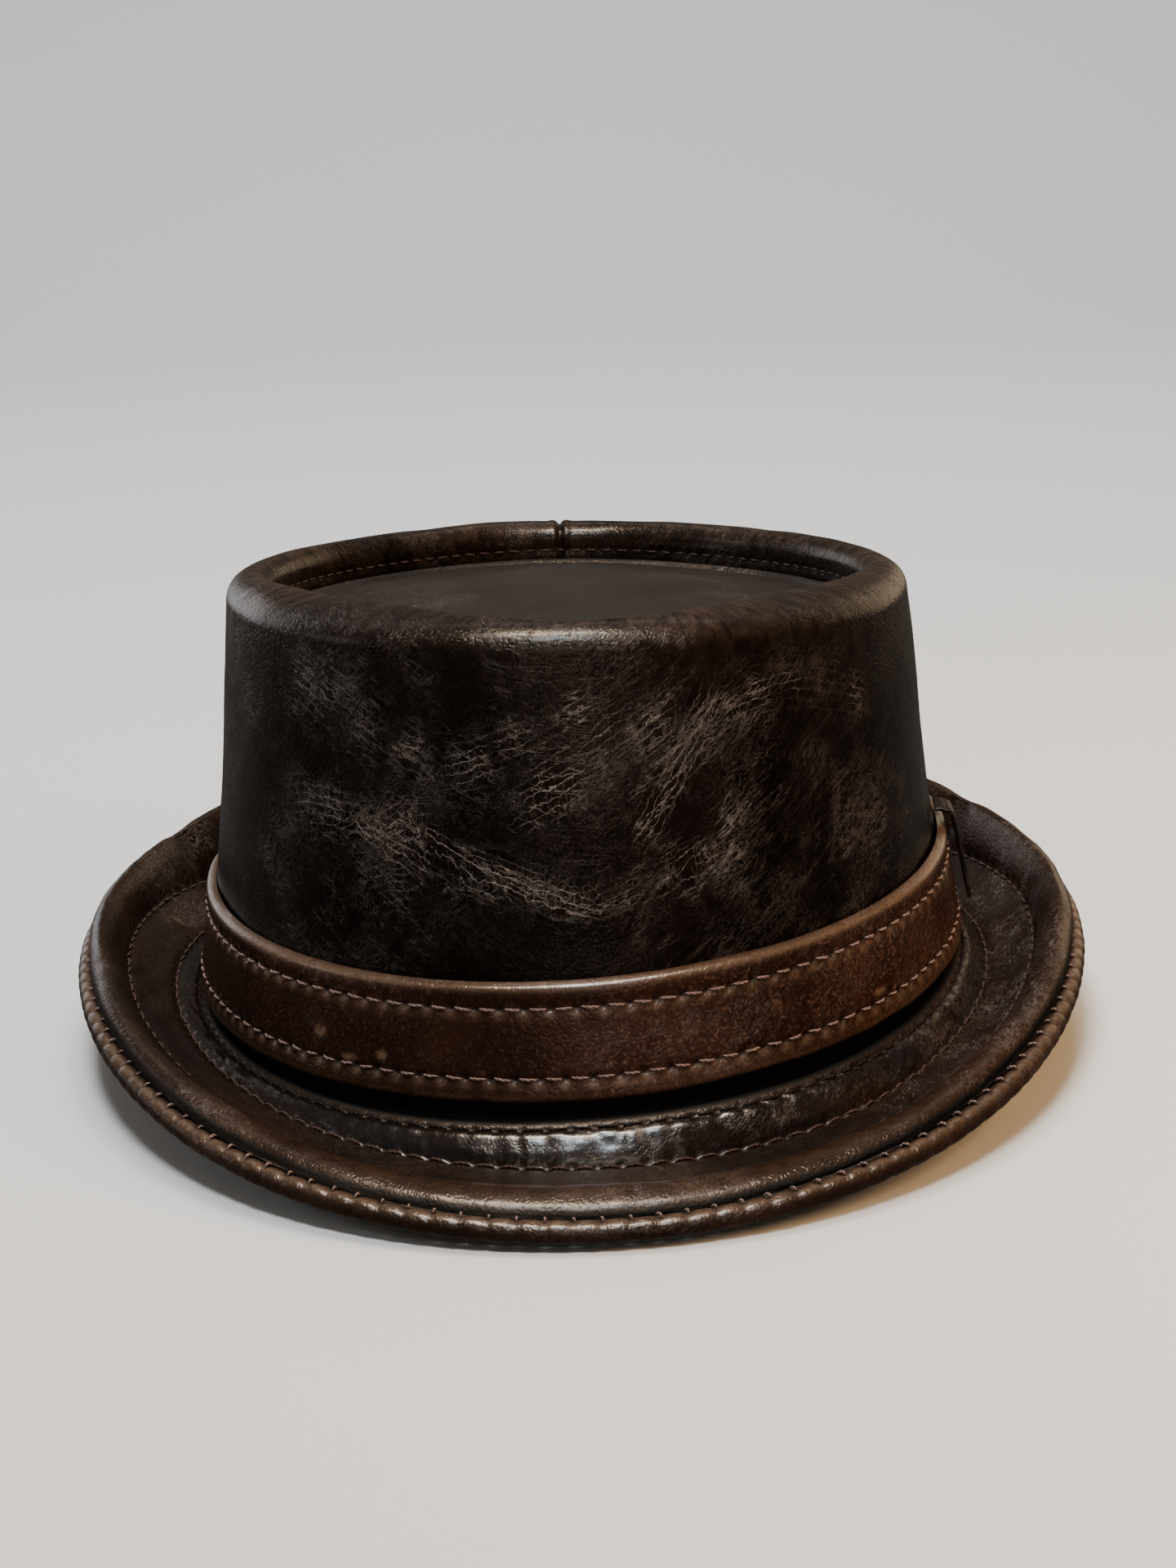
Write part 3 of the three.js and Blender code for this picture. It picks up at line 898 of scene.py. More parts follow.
def make_brim_upper(form):
    """The brim's upper layer: a smooth curve through its lines, given a thickness and its relief."""
    place = denser_near((FIRST_SEAM, SECOND_SEAM, THIRD_SEAM, 9.5), 0, LAST_LINE, BRIM_POINTS, 0.35, 1.6)
    rows = form.brim_rows(form.angle)
    relief, values = brim_relief(form, place)
    loop = wall_loop(through(rows, place), form.brim.upper_leather)
    loop[..., 0] = np.maximum(loop[..., 0], form.brim.gap)
    points, normals = lifted(form.carried(form.angle, loop), relief, 10, (0, 0, 1))
    seams = []
    for seam in BRIM_SEAMS:
        nearest = int(np.argmin(np.abs(place - seam["line"])))
        seams.append((form.carried(form.angle, rows[seam["line"]]), normals[nearest]))
    return ring_piece("brim_upper_leather", points, values), seams


def lip_centre(form, angle):
    """Out and height of the lip's middle: beside the end of the rolled edge, turned below level."""
    side, front, back = form.shares(angle)
    end = form.brim_rows(angle)[-1]
    turn = np.radians(LIP_TURN["front"] * front + LIP_TURN["side"] * side + LIP_TURN["back"] * back)
    away = form.brim.lip_radius + form.brim.gap
    height = np.maximum(end[..., 1] - away * np.sin(turn), form.brim.lip_radius)
    return np.stack([end[..., 0] + away * np.cos(turn), height], -1)


def make_brim_under(form):
    """The lower layer: the upper line moved down by its depth to the third seam, then straight to the lip.

    Its lower side is cut level where the hat rests.
    """
    b = form.brim
    angle = form.angle[::2]
    place = np.linspace(0, LAST_LINE, UNDER_POINTS)
    line = through(form.brim_rows(angle), place)
    normal, _ = side_of(line)
    depth = b.upper_leather + b.gap
    keep = place <= THIRD_SEAM
    top = (line + normal * depth)[keep][::2]
    low = (line + normal * (depth + b.under_leather))[keep][::2]
    start = (line + normal * (depth + b.under_leather / 2))[keep][-1]
    lip = lip_centre(form, angle)
    back = unit_vectors(start - lip)
    end = lip + back * (b.lip_radius + b.gap)
    half = b.under_leather * 0.35
    side = np.stack([back[..., 1], -back[..., 0]], -1)
    steps = after_start(15)[..., None]
    upper = np.concatenate([top, top[-1] + (end + side * half - top[-1]) * steps])
    lower = np.concatenate([low, low[-1] + (end - side * half - low[-1]) * steps])
    lower[..., 1] = np.maximum(lower[..., 1], 0)
    middle = (upper[-1] + lower[-1]) / 2 - back * half * 0.5
    loop = np.concatenate([upper, middle[None], lower[::-1]])
    loop[..., 0] = np.maximum(loop[..., 0], b.gap)
    seams = []
    for seam in (SECOND_SEAM, THIRD_SEAM):
        nearest = min(int(np.argmin(np.abs(place[keep][::2] - seam))), len(low) - 1)
        seams.append(form.place(angle, low[nearest][..., 0], np.maximum(low[nearest][..., 1], 0)))
    return ring_piece("brim_under_leather", form.carried(angle, loop)), seams


def make_lip(form):
    """The lip: a circle carried round the edge, pinched by a raised cosine where each stitch wraps it."""
    centre = lip_centre(form, form.angle)
    phase, count = form.stitch_phase(form.carried(form.angle, centre), form.thread.edge_pitch)
    swing = np.linspace(0, TURN, LIP_SIDES, endpoint=False).reshape(-1, 1)
    turn = form.angle / TURN
    radius = form.brim.lip_radius * (1 + LIP_SWELL * lattice_noise(swing / TURN, turn, 5, 150, 61))
    inner = 0.5 - 0.5 * np.cos(swing - math.radians(-60))
    radius = radius - form.thread.dip * LIP_PINCH * pulled(phase, 4) * (0.35 + 0.65 * inner)
    height = np.maximum(centre[..., 1] + radius * np.sin(swing), 0.0002)
    points = form.place(form.angle, centre[..., 0] + radius * np.cos(swing), height)
    degrees = np.degrees(swing)
    # Paler rubbed leather on the lip's upper side, partly a painted highlight; painted shade on the side
    # facing the rolled edge and in the stitch holes
    wear = bump_at(degrees, *LIP_WEAR_AND_HIGHLIGHT) * patchy(0.7, swing / TURN, turn, 12, 500, 62)
    pit = np.maximum(bump_at(degrees, *LIP_GROOVE_SHADE), bump_at(degrees, *LIP_HOLE_SHADE) * pulled(phase, 7) * 0.85)
    return ring_piece("lip_leather", points, {"wear": unit(wear), "pit": unit(pit)}), phase, count, centre


# Band and keeper

def bead(share):
    """A rolled edge's stand-off over shares of -1 to 1: 1 less the share cubed, drawn up to a blunt top."""
    return unit(1 - np.abs(share) ** 3) ** 0.4


def band_section(form):
    """The band's section: a strip with a low belly between two rolled beads.

    Along the face, the stand-off is the greatest of the strip's and the two beads' heights.
    """
    b = form.band
    rise = denser_near((0.02, 0.19, 0.8, 0.97), 0, 1, BAND_POINTS, 0.05, 2.2).reshape(-1, 1)
    height = form.band_low(form.angle) + b.height * rise
    base = form.wall_out(form.angle, height) + form.brim.gap + b.flare * (1 - rise) ** 2
    roll = b.edge_roll / b.height
    belly = 0.1 * np.sin(math.pi * unit((rise - roll) / (1 - 2 * roll)))
    inside = (rise > roll * 0.35) & (rise < 1 - roll * 0.35)
    strip = np.where(inside, 0.90 + belly, 0.1)
    beads = np.maximum(0.98 * bead(rise * 2 / roll - 1), 1.06 * bead((rise - 1) * 2 / roll + 1))
    outer = np.stack([base + b.leather * np.maximum(strip, beads), height], -1)
    return outer, np.stack([base, height], -1), rise


def make_band(form):
    """The band: its section carried round the crown, puckered along both stitch rows."""
    outer, inner, rise = band_section(form)
    turn = form.angle / TURN
    dip = form.thread.dip
    points = form.carried(form.angle, np.concatenate([outer, inner[::-4]]))
    relief = unevenness("band", rise, turn)
    pit = 0 * relief
    pucker = 0 * relief
    seams = []
    for at, shift in zip(BAND_SEAMS, (0.0, 0.5)):
        nearest = int(np.argmin(np.abs(rise[:, 0] - at)))
        phase, count = form.stitch_phase(points[nearest], form.thread.pitch)
        phase = phase + shift
        relief -= dip * bump_at(rise, at, BAND_GROOVE) * (0.3 + 0.9 * pulled(phase))
        relief += dip * 0.3 * bump_at(rise, at, BAND_WELT) * (1 - pulled(phase, 1))
        # Painted shade in the stitch holes
        pit = np.maximum(pit, bump_at(rise, at, BAND_HOLE_SHADE) * pulled(phase, 8))
        below = bump_at(rise, at - BAND_PUCKER[0], BAND_PUCKER[1])
        pucker = np.maximum(pucker, below * (0.25 + 0.75 * pulled(phase, 2)))
        seams.append((nearest, phase, count))
    points, normals = lifted(points, relief, len(outer) // 2, (0, -1, 0))
    # Paler rubbed leather on the top ridge, the foot and below the stitches; on the top ridge partly a
    # painted highlight
    ridge = bump_at(rise, *BAND_RIDGE) * patchy(0.85, rise, turn, 20, 300, 73)
    foot = 0.4 * bump_at(rise, *BAND_FOOT) * patchy(0.7, rise, turn, 20, 260, 74)
    wear = np.maximum(np.maximum(ridge, foot), 0.55 * pucker)
    scuff = np.max([spot(mark, form.angle, rise) for mark in BAND_SCUFFS], axis=0)
    scuff = scuff * patchy(0.85, rise, turn, 24, 500, 75)
    piece = ring_piece("band_leather", points, {"wear": unit(wear), "pit": unit(pit), "scuff": unit(scuff)})
    return piece, [(points[k], normals[k], phase, count) for k, phase, count in seams]


def rounded(wave, power):
    """A sine or cosine drawn toward 1 and -1, which turns a circle into a box with soft corners."""
    return np.sign(wave) * np.abs(wave) ** power


def make_keeper(form):
    """The keeper: a strap's rounded section along a curve that rises over the band and down its face."""
    b = form.band
    middle = math.radians(KEEPER_ANGLE)
    top = float(form.band_low(np.array(middle))) + b.height
    face = b.leather + form.brim.gap + b.keeper_stand_off
    half = b.keeper_leather / 2
    stops = []
    for stop in KEEPER_STOPS:
        height = top + b.keeper_top * stop["rise"] - b.height * stop["drop"]
        wall = float(form.wall_out(np.array(middle), np.array(height)))
        out = wall + form.brim.gap + max(face * stop["reach"] - half, 0)
        stops.append([out, height - half * (stop["rise"] > 0.9)])
    stops = np.array(stops)
    path = through(stops, np.linspace(0, len(stops) - 1, KEEPER_STEPS))[:, None]
    normal, _ = side_of(path)
    swing = np.linspace(0, TURN, KEEPER_SIDES, endpoint=False)
    share = np.linspace(0, 1, KEEPER_STEPS)
    less, over = KEEPER_TAPER
    taper = 1 - less * bump_at(share, 0, over) - less * bump_at(share, 1, over)
    section = path + normal * (half * rounded(np.sin(swing), KEEPER_BLUNT[0]) * taper[:, None])[..., None]
    wide = b.keeper_width / 2 * rounded(np.cos(swing), KEEPER_BLUNT[1]) / form.crown.half_width
    return capped_body("band_keeper_leather", form.carried(middle + wide + 0 * section[..., 0], section))


# Stitches

def at_phase(values, phase, wanted, count):
    """Values on a closed line read at other phases by straight interpolation."""
    order = np.argsort(phase % count)
    x = (phase % count)[order]
    x = np.concatenate([x[-1:] - count, x, x[:1] + count])
    y = values[order]
    y = np.concatenate([y[-1:], y, y[:1]])
    read = [np.interp(wanted.ravel() % count, x, y[:, k]) for k in range(values.shape[1])]
    return np.stack(read, -1).reshape(count, THREAD_RINGS, -1)


def thread_mesh(name, centre, up, radius):
    """Closed threads in one mesh: rings round each stitch's curve, narrowing to its ends, closed by fans.

    The UV map holds length and turn, for the twist.
    """
    forward = unit_vectors(np.gradient(centre, axis=1))
    side = unit_vectors(np.cross(forward, up))
    over = np.cross(side, forward)
    swing = np.linspace(0, TURN, THREAD_SIDES, endpoint=False)
    s = np.linspace(0, 1, THREAD_RINGS)
    size = radius * np.clip(np.sin(math.pi * (0.12 + 0.76 * s)) ** 0.5, 0.1, 1)
    ring = side[:, :, None] * np.cos(swing)[:, None] + over[:, :, None] * np.sin(swing)[:, None]
    rings = centre[:, :, None] + ring * size[None, :, None, None]
    count = len(centre)
    base = rings.reshape(-1, 3)
    quads, corners = grid_faces(THREAD_RINGS, THREAD_SIDES)
    offset = (np.arange(count) * THREAD_RINGS * THREAD_SIDES)[:, None, None]
    uv = np.stack([corners[..., 0] / (THREAD_RINGS - 1), corners[..., 1] / THREAD_SIDES], -1)
    hub = (len(base) + np.arange(count))[:, None]
    fans = []
    for end, fan in enumerate(end_fans(THREAD_RINGS, THREAD_SIDES, 0, 0)):
        corner = [hub + end * count + 0 * fan[:, 0], offset[:, 0] + fan[:, 1], offset[:, 0] + fan[:, 2]]
        fans.append(np.stack(corner, -1).reshape(-1, 3))
    points = np.concatenate([base, centre[:, 0], centre[:, -1]])
    return closed_body(name, points, (quads[None] + offset).reshape(-1, 4), fans, np.tile(uv, (count, 1, 1)))


def make_stitches(name, form, path, up, phase, count, lean=0.0, thickness=1.0):
    """One row of stitches in one mesh: each thread rises out of its hole and back by half a sine wave.

    A seeded share of a thread's radius varies each stitch's height, length and lean.
    """
    radius = form.thread.radius * thickness
    rng = np.random.default_rng(len(name) * 7 + count)
    s = np.linspace(0, 1, THREAD_RINGS)
    long = STITCH_REACH * (1 + REACH_SPREAD * rng.normal(size=(count, 1)))
    wanted = np.arange(count).reshape(-1, 1) + 0.5 + (s - 0.5) * long
    centre = at_phase(path, phase, wanted, count)
    above = unit_vectors(at_phase(up, phase, wanted, count))
    aside = np.cross(unit_vectors(np.gradient(centre, axis=1)), above)
    lift = radius * STITCH_LIFT * (1 + LIFT_SPREAD * rng.normal(size=(count, 1)))
    rise = lift * (1.7 * np.sin(math.pi * s) - 0.8)
    tilt = radius * (lean + LEAN_SPREAD * rng.normal(size=(count, 1))) * (s - 0.5) * 2
    return thread_mesh(name, centre + above * rise[..., None] + aside * tilt[..., None], above, radius)


def make_lip_stitches(form, phase, count, centre):
    """Short threads from the groove over the lip's inner shoulder: part of a circle just above the lip."""
    s = np.linspace(0, 1, THREAD_RINGS)
    rng = np.random.default_rng(91)
    swing = np.radians(LIP_STITCH[0] - LIP_STITCH[1] * s) + 0.12 * rng.normal(size=(count, 1))
    spread = (s - 0.5) * 0.10 * (1 + 0.5 * rng.normal(size=(count, 1)))
    wanted = np.arange(count)[:, None] + spread
    lines = np.stack([np.cos(form.angle), np.sin(form.angle), centre[..., 0], centre[..., 1]], -1)
    cosine, sine, out, height = np.moveaxis(at_phase(lines, phase, wanted, count), -1, 0)
    angle = np.arctan2(sine, cosine)
    reach = form.brim.lip_radius + form.thread.radius * (0.55 + 0.9 * np.sin(math.pi * s) - 0.6 * s)
    path = form.place(angle, out + reach * np.cos(swing), height + reach * np.sin(swing))
    above = unit_vectors(path - form.place(angle, out, height))
    return thread_mesh("lip_stitches", path, above, form.thread.radius * 0.95)


# Materials

# Noise of the leather: scale in features per metre, detail and roughness
NOISES = {
    "patches": (15.0, 3.0, 0.6),
    "broken": (90.0, 3.0, 0.65),
    "hair patches": (60.0, 3.0, 0.6),
    "web patches": (75.0, 4.0, 0.65),
    "wander": (55.0, 7.0, 0.74),
    "painted_sheen": (70.0, 4.0, 0.7),
    "mottle": (34.0, 5.0, 0.62),
    "speckle": (1050.0, 3.0, 0.75),
    "wear": (900.0, 3.0, 0.7),
    "scuff": (520.0, 4.0, 0.75),
    "grain": (260.0, 3.0, 0.6),
    "fine grain": (1900.0, 2.0, 0.6),
    "dust": (800.0, 2.0, 0.6),
    "floor": (3.0, 2.0, 0.5),
}

# Hairlines of the leather: scale, detail and roughness of the noise, and width of the line in its values
HAIRLINES = {
    "long": (300.0, 4.0, 0.65, 0.012),
    "cross": (210.0, 5.0, 0.65, 0.014),
    "hairs": (620.0, 4.0, 0.7, 0.020),
    "web": (800.0, 3.0, 0.65, 0.024),
}
PORES_SCALE = 1150.0

# The strands of a long crease: turns of a sine per degree beside it and per unit of noise
STRANDS_BESIDE = 5.2
STRANDS_WANDER = 24.0

# Kinds of leather: colour, masks read from the mesh, strength of the creases, roughness, specular level,
# strength of the flecks and strength of the rubbed edges' paler leather, which is partly painted highlight
LEATHER_ROWS = table(
    "name base masks crackle gloss shine fleck wear_gain",
    ("crown_leather", "crown", ("wear", "scuff", "crease", "pit"), 1.0, 0.28, 0.12, 0.10, 0.40),
    ("tip_leather", "tip", (), 0.45, 0.38, 0.36, 0.10, 1.0),
    ("brim_leather", "brim", ("wear", "polish", "pit"), 0.60, 0.31, 0.18, 0.30, 0.22),
    ("under_leather", "brim", (), 0.40, 0.46, 0.22, 0.30, 1.0),
    ("lip_leather", "lip", ("wear", "pit"), 0.30, 0.33, 0.21, 0.30, 0.80),
    ("band_leather", "band", ("wear", "pit", "scuff"), 0.30, 0.32, 0.20, 0.80, 0.90),
    ("keeper_leather", "crown", (), 0.40, 0.42, 0.22, 0.30, 1.0),
)
LEATHERS = {row["name"]: row for row in LEATHER_ROWS}
WAX_ROUGHNESS = 0.24


class Number:
    """A number socket that Python's operators turn into Math nodes."""

    def __init__(self, shader, socket):
        self.shader = shader
        self.socket = socket

    def maths(self, operation, *inputs):
        """A Math node."""
        node = self.shader.add("ShaderNodeMath", {"operation": operation}, dict(enumerate(inputs)))
        return Number(self.shader, node.outputs[0])

    def __add__(self, other):
        return self.maths("ADD", self, other)

    def __sub__(self, other):
        return self.maths("SUBTRACT", self, other)

    def __rsub__(self, other):
        return self.maths("SUBTRACT", other, self)

    def __mul__(self, other):
        return self.maths("MULTIPLY", self, other)

    __radd__ = __add__
    __rmul__ = __mul__

    def __pow__(self, other):
        return self.maths("POWER", self, other)

    def __abs__(self):
        return self.maths("ABSOLUTE", self)

    def sine(self):
        return self.maths("SINE", self)

    def most(self, other):
        return self.maths("MAXIMUM", self, other)

    def least(self, other):
        return self.maths("MINIMUM", self, other)


class Shader:
    """A material and its nodes. add makes any node; the other methods are short forms of it."""

    def __init__(self, name):
        self.material = bpy.data.materials.new(name)
        self.material.use_nodes = True
        self.tree = self.material.node_tree
        self.tree.nodes.clear()
        coordinates = self.add("ShaderNodeTexCoord")
        self.place = coordinates.outputs["Object"]
        self.uv = coordinates.outputs["UV"]

    def add(self, kind, settings=None, inputs=None):
        """A node of one kind: its settings first, then the values or links of its sockets."""
        node = self.tree.nodes.new(kind)
        for key, value in (settings or {}).items():
            setattr(node, key, value)
        for key, value in (inputs or {}).items():
            socket = node.inputs[key]
            if isinstance(value, Number):
                value = value.socket
            if isinstance(value, bpy.types.NodeSocket):
                self.tree.links.new(value, socket)
            else:
                socket.default_value = value
        return node

    def noise(self, scale, detail, rough, where=None):
        """Noise from 0 to 1, with details smaller than its scale."""
        inputs = {"Vector": where or self.place, "Scale": scale, "Detail": detail, "Roughness": rough}
        return Number(self, self.add("ShaderNodeTexNoise", {}, inputs).outputs["Fac"])

    def noise_of(self, name, where=None):
        """One row of the table of noises."""
        return self.noise(*NOISES[name], where)

    def hairlines(self, name, where):
        """Thin branching lines of one row of the table: noise near its middle value."""
        *pattern, width = HAIRLINES[name]
        return 1.0 - self.step(abs(self.noise(*pattern, where) - 0.5), 0.0, width)

    def cells(self, scale, where):
        """Distance from the cells' middles in a Voronoi pattern."""
        node = self.add("ShaderNodeTexVoronoi", {}, {"Vector": where, "Scale": scale})
        return Number(self, node.outputs["Distance"])

    def step(self, value, low, high):
        """A smooth step from 0 at low to 1 at high."""
        inputs = {"Value": value, "From Min": low, "From Max": high, "To Min": 0.0, "To Max": 1.0}
        settings = {"interpolation_type": "SMOOTHSTEP"}
        return Number(self, self.add("ShaderNodeMapRange", settings, inputs).outputs["Result"])

    def mask(self, name):
        """A value kept on the mesh's points."""
        return Number(self, self.add("ShaderNodeAttribute", {"attribute_name": name}).outputs["Fac"])

    def blend(self, factor, first, second):
        """A mix of two colours."""
        inputs = {0: factor, 6: first, 7: second}
        return self.add("ShaderNodeMix", {"data_type": "RGBA"}, inputs).outputs[2]

    def bump(self, height, strength, distance):
        """A normal that follows a height."""
        inputs = {"Strength": strength, "Distance": distance, "Height": height}
        return self.add("ShaderNodeBump", {}, inputs).outputs["Normal"]

    def parts(self, vector):
        """A vector's three numbers."""
        split = self.add("ShaderNodeSeparateXYZ", {}, {0: vector})
        return [Number(self, socket) for socket in split.outputs]

    def vector(self, operation, inputs):
        """A Vector Math node."""
        return self.add("ShaderNodeVectorMath", {"operation": operation}, inputs).outputs[0]

    def warped(self, scale, amount, seed=0.0):
        """Object coordinates pushed about by noise."""
        where = self.place
        if seed:
            where = self.vector("ADD", {0: where, 1: (seed, seed * 0.7, -seed)})
        push = self.add("ShaderNodeTexNoise", {}, {"Vector": where, "Scale": scale, "Detail": 2.0})
        centred = self.vector("SUBTRACT", {0: push.outputs["Color"], 1: (0.5, 0.5, 0.5)})
        return self.vector("ADD", {0: where, 1: self.vector("SCALE", {0: centred, "Scale": amount})})

    def folded(self, where, fall, lean, bend, stretch):
        """Coordinates that follow V-shaped folds: height less the fall times the rounded distance aside.

        The rounding is a hyperbola of the bend's radius, the lean makes one side steeper, and the
        stretch draws the pattern out along the folds.
        """
        x, y, z = self.parts(where)
        level = z - (x * x + bend * bend) ** 0.5 * fall - x * lean
        inputs = {0: level, 1: x * (1.0 / stretch), 2: y * (1.0 / stretch)}
        return self.add("ShaderNodeCombineXYZ", {}, inputs).outputs[0]

    def turned(self, where, tilt, stretch):
        """Coordinates tilted about the front-to-back axis and stretched along the tilted upright."""
        inputs = {0: where, "Rotation": (0.0, math.radians(tilt), 0.0), "Scale": (1.0, 0.8, 1.0 / stretch)}
        return self.add("ShaderNodeMapping", {}, inputs).outputs[0]

    def finish(self, constants, varied):
        """A Principled surface: constants on its sockets, and varied values through links."""
        surface = self.add("ShaderNodeBsdfPrincipled", {}, {**constants, **varied})
        self.add("ShaderNodeOutputMaterial", {}, {"Surface": surface.outputs["BSDF"]})
        return self.material


def rgba(value, gain=1.0):
    """A colour with full alpha, made lighter or darker."""
    return tuple(min(1.0, c * gain) for c in value) + (1.0,)


def crease_pattern(s, tight, close_folds, guided):
    """Hairline creases, and the patches where they crowd.

    They are thin lines of noise drawn out along two slopes, a cross slope and none, broken up by more
    noise. Where the mesh guides them, patches follow the guide, and strands run beside its lines: the
    crests of a sine of the distance from the line, shifted by noise.
    """
    soft = s.warped(22.0, 0.010)
    patches = s.step(s.noise_of("patches"), 0.42, 0.64)
    broken = s.step(s.noise_of("broken", tight), 0.40, 0.58)
    if guided:
        guide = s.mask("crease")
        patches = patches * 0.25 + guide
        broken = broken.most(guide * 0.35)
    folded = s.folded(soft, 0.85, 0.12, 0.02, 5.0)
    long_creases = s.hairlines("long", folded) * broken * (0.05 + 0.75 * patches)
    cross_creases = s.hairlines("cross", s.turned(soft, 52, 4.0)) * broken * patches
    hairs = s.hairlines("hairs", close_folds) * s.step(s.noise_of("hair patches"), 0.44, 0.62)
    web = s.hairlines("web", tight) * s.step(s.noise_of("web patches"), 0.45, 0.62)
    creases = long_creases.most(cross_creases * 0.3).most(hairs * (0.05 + 0.6 * patches))
    creases = creases.most(web * (0.04 + 0.36 * patches))
    if guided:
        wander = s.mask("beside") * STRANDS_BESIDE + s.noise_of("wander") * STRANDS_WANDER
        strands = s.step(wander.sine(), 0.94, 1.0) * broken * guide * (0.5 + 0.8 * guide)
        creases = creases.most(strands)
    return creases.least(1.0), patches


def leather(name):
    """Waxed leather that pales where it is stretched, of one kind in the table.

    A dark base with slow mottling and pale flecks of grain. Creases are paler, partly as stretched leather
    and partly as painted sheen, and a painted sheen lies round the guided ones. Rubbed edges and scuffs are
    paler, the edges partly as painted highlight. Painted shade darkens seams, stitch holes and grooves.
    Leather is darker and smoother where it is polished, and has a coat of wax where it is polished or rubbed.
    """
    kind = LEATHERS[name]
    masks = kind["masks"]
    finish = bpy.context.scene.hat_finish
    base = getattr(finish, kind["base"])
    guided = "crease" in masks
    s = Shader(name)
    tight = s.warped(160.0, 0.0040, 3.1)
    close_folds = s.folded(tight, 0.80, 0.10, 0.03, 3.5)
    creases, patches = crease_pattern(s, tight, close_folds, guided)
    speckle = s.step(s.noise_of("speckle", close_folds if guided else tight), 0.50, 0.72)
    mottle = s.noise_of("mottle")
    tone = s.blend(s.step(mottle, 0.36, 0.66), rgba(base, 0.62), rgba(base, 1.4))
    tone = s.blend(speckle * (0.35 + 0.65 * patches) * kind["fleck"], tone, rgba(finish.fleck))
    # Painted sheen: a faint pale veil over the patches round the guided creases
    if guided:
        painted_sheen = patches.least(1.0) * s.step(s.noise_of("painted_sheen", tight), 0.34, 0.70)
        tone = s.blend(painted_sheen * 0.25, tone, rgba(finish.painted_sheen))
    # Paler creases: partly stretched leather, partly a painted sheen
    tone = s.blend((creases * 0.85 * kind["crackle"]).least(1.0), tone, rgba(finish.pull))
    rough = kind["gloss"] + 0.10 * creases + 0.12 * (mottle - 0.5) + 0.06 * speckle
    pores = s.step(s.cells(PORES_SCALE, tight), 0.05, 0.6)
    grain = 0.5 * pores + 0.3 * s.noise_of("fine grain") + 0.8 * s.noise_of("grain")
    varied = {}
    # Paler rubbed leather on edges and ridges, partly a painted highlight, under a coat of wax
    if "wear" in masks:
        wear = s.mask("wear") * (0.25 + 1.2 * (s.noise_of("wear") - 0.1))
        tone = s.blend((wear * kind["wear_gain"]).least(1.0), tone, rgba(finish.worn_and_highlight))
        varied["Coat Weight"] = (wear * 0.45).least(0.45)
    if "scuff" in masks:
        scuff = s.step(s.mask("scuff") * (0.25 + 1.1 * s.noise_of("scuff")), 0.22, 0.75)
        tone = s.blend(scuff * 0.6, tone, rgba(finish.worn_and_highlight, 1.3))
        rough = rough + 0.15 * scuff
    if "polish" in masks:
        polish = s.mask("polish")
        rough = rough - 0.11 * polish
        tone = s.blend(polish * 0.85, tone, rgba(finish.polished))
        grain = grain * (1.0 - 0.75 * polish)
        varied["Coat Weight"] = (polish * 0.48).most(wear * 0.15)
    # Painted shade: seams, stitch holes, grooves, the brim's flat and the crown's strip under the band are
    # darkened and made rougher
    if "pit" in masks:
        pit = s.mask("pit")
        tone = s.blend(pit, tone, rgba(finish.painted_shade_tone))
        rough = rough + 0.4 * pit
    varied["Base Color"] = tone
    varied["Roughness"] = rough.most(0.16).least(0.9)
    varied["Normal"] = s.bump(grain - 0.9 * creases * kind["crackle"], 0.6, 0.00022)
    constants = {
        "Specular IOR Level": kind["shine"],
        "Specular Tint": rgba(finish.gloss_tint),
        "Coat Roughness": WAX_ROUGHNESS,
    }
    return s.finish(constants, varied)


def twisted_thread(name):
    """Waxed two-ply thread: a slanting stripe of length and turn, light on the ply and dark between."""
    base = getattr(bpy.context.scene.hat_finish, name)
    s = Shader(name)
    along, turn, _ = s.parts(s.uv)
    ply = ((along * 3.6 + turn * 2.0) * TURN).sine() * 0.5 + 0.5
    # Painted shade: the thread is darkened between its plies
    tone = s.blend(s.step(ply, 0.1, 0.6), rgba(base, 0.36), rgba(base, 1.15))
    tone = s.blend(s.noise_of("dust") * 0.5, tone, rgba(base, 0.6))
    constants = {"Roughness": 0.6, "Specular IOR Level": 0.06}
    return s.finish(constants, {"Base Color": tone, "Normal": s.bump(ply, 0.8, 0.00018)})


def thread_material(name="thread"):
    """One of the threads' materials, made once."""
    return bpy.data.materials.get(name) or twisted_thread(name)


def plain_floor(finish):
    """A plain pale matt surface with the faintest unevenness."""
    s = Shader("floor")
    tone = s.blend(s.noise_of("floor"), rgba(finish.floor, 0.985), rgba(finish.floor))
    return s.finish({"Roughness": 0.85, "Specular IOR Level": 0.2}, {"Base Color": tone})


def dress(piece, material, slot, *nodes):
    """Gives a piece its material and its body, and hides the nodes that it stands for; the slot is not used.
    """
    piece.data.materials.append(material)
    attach(piece, "root")
    if nodes:
        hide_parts(*nodes)


# Stage

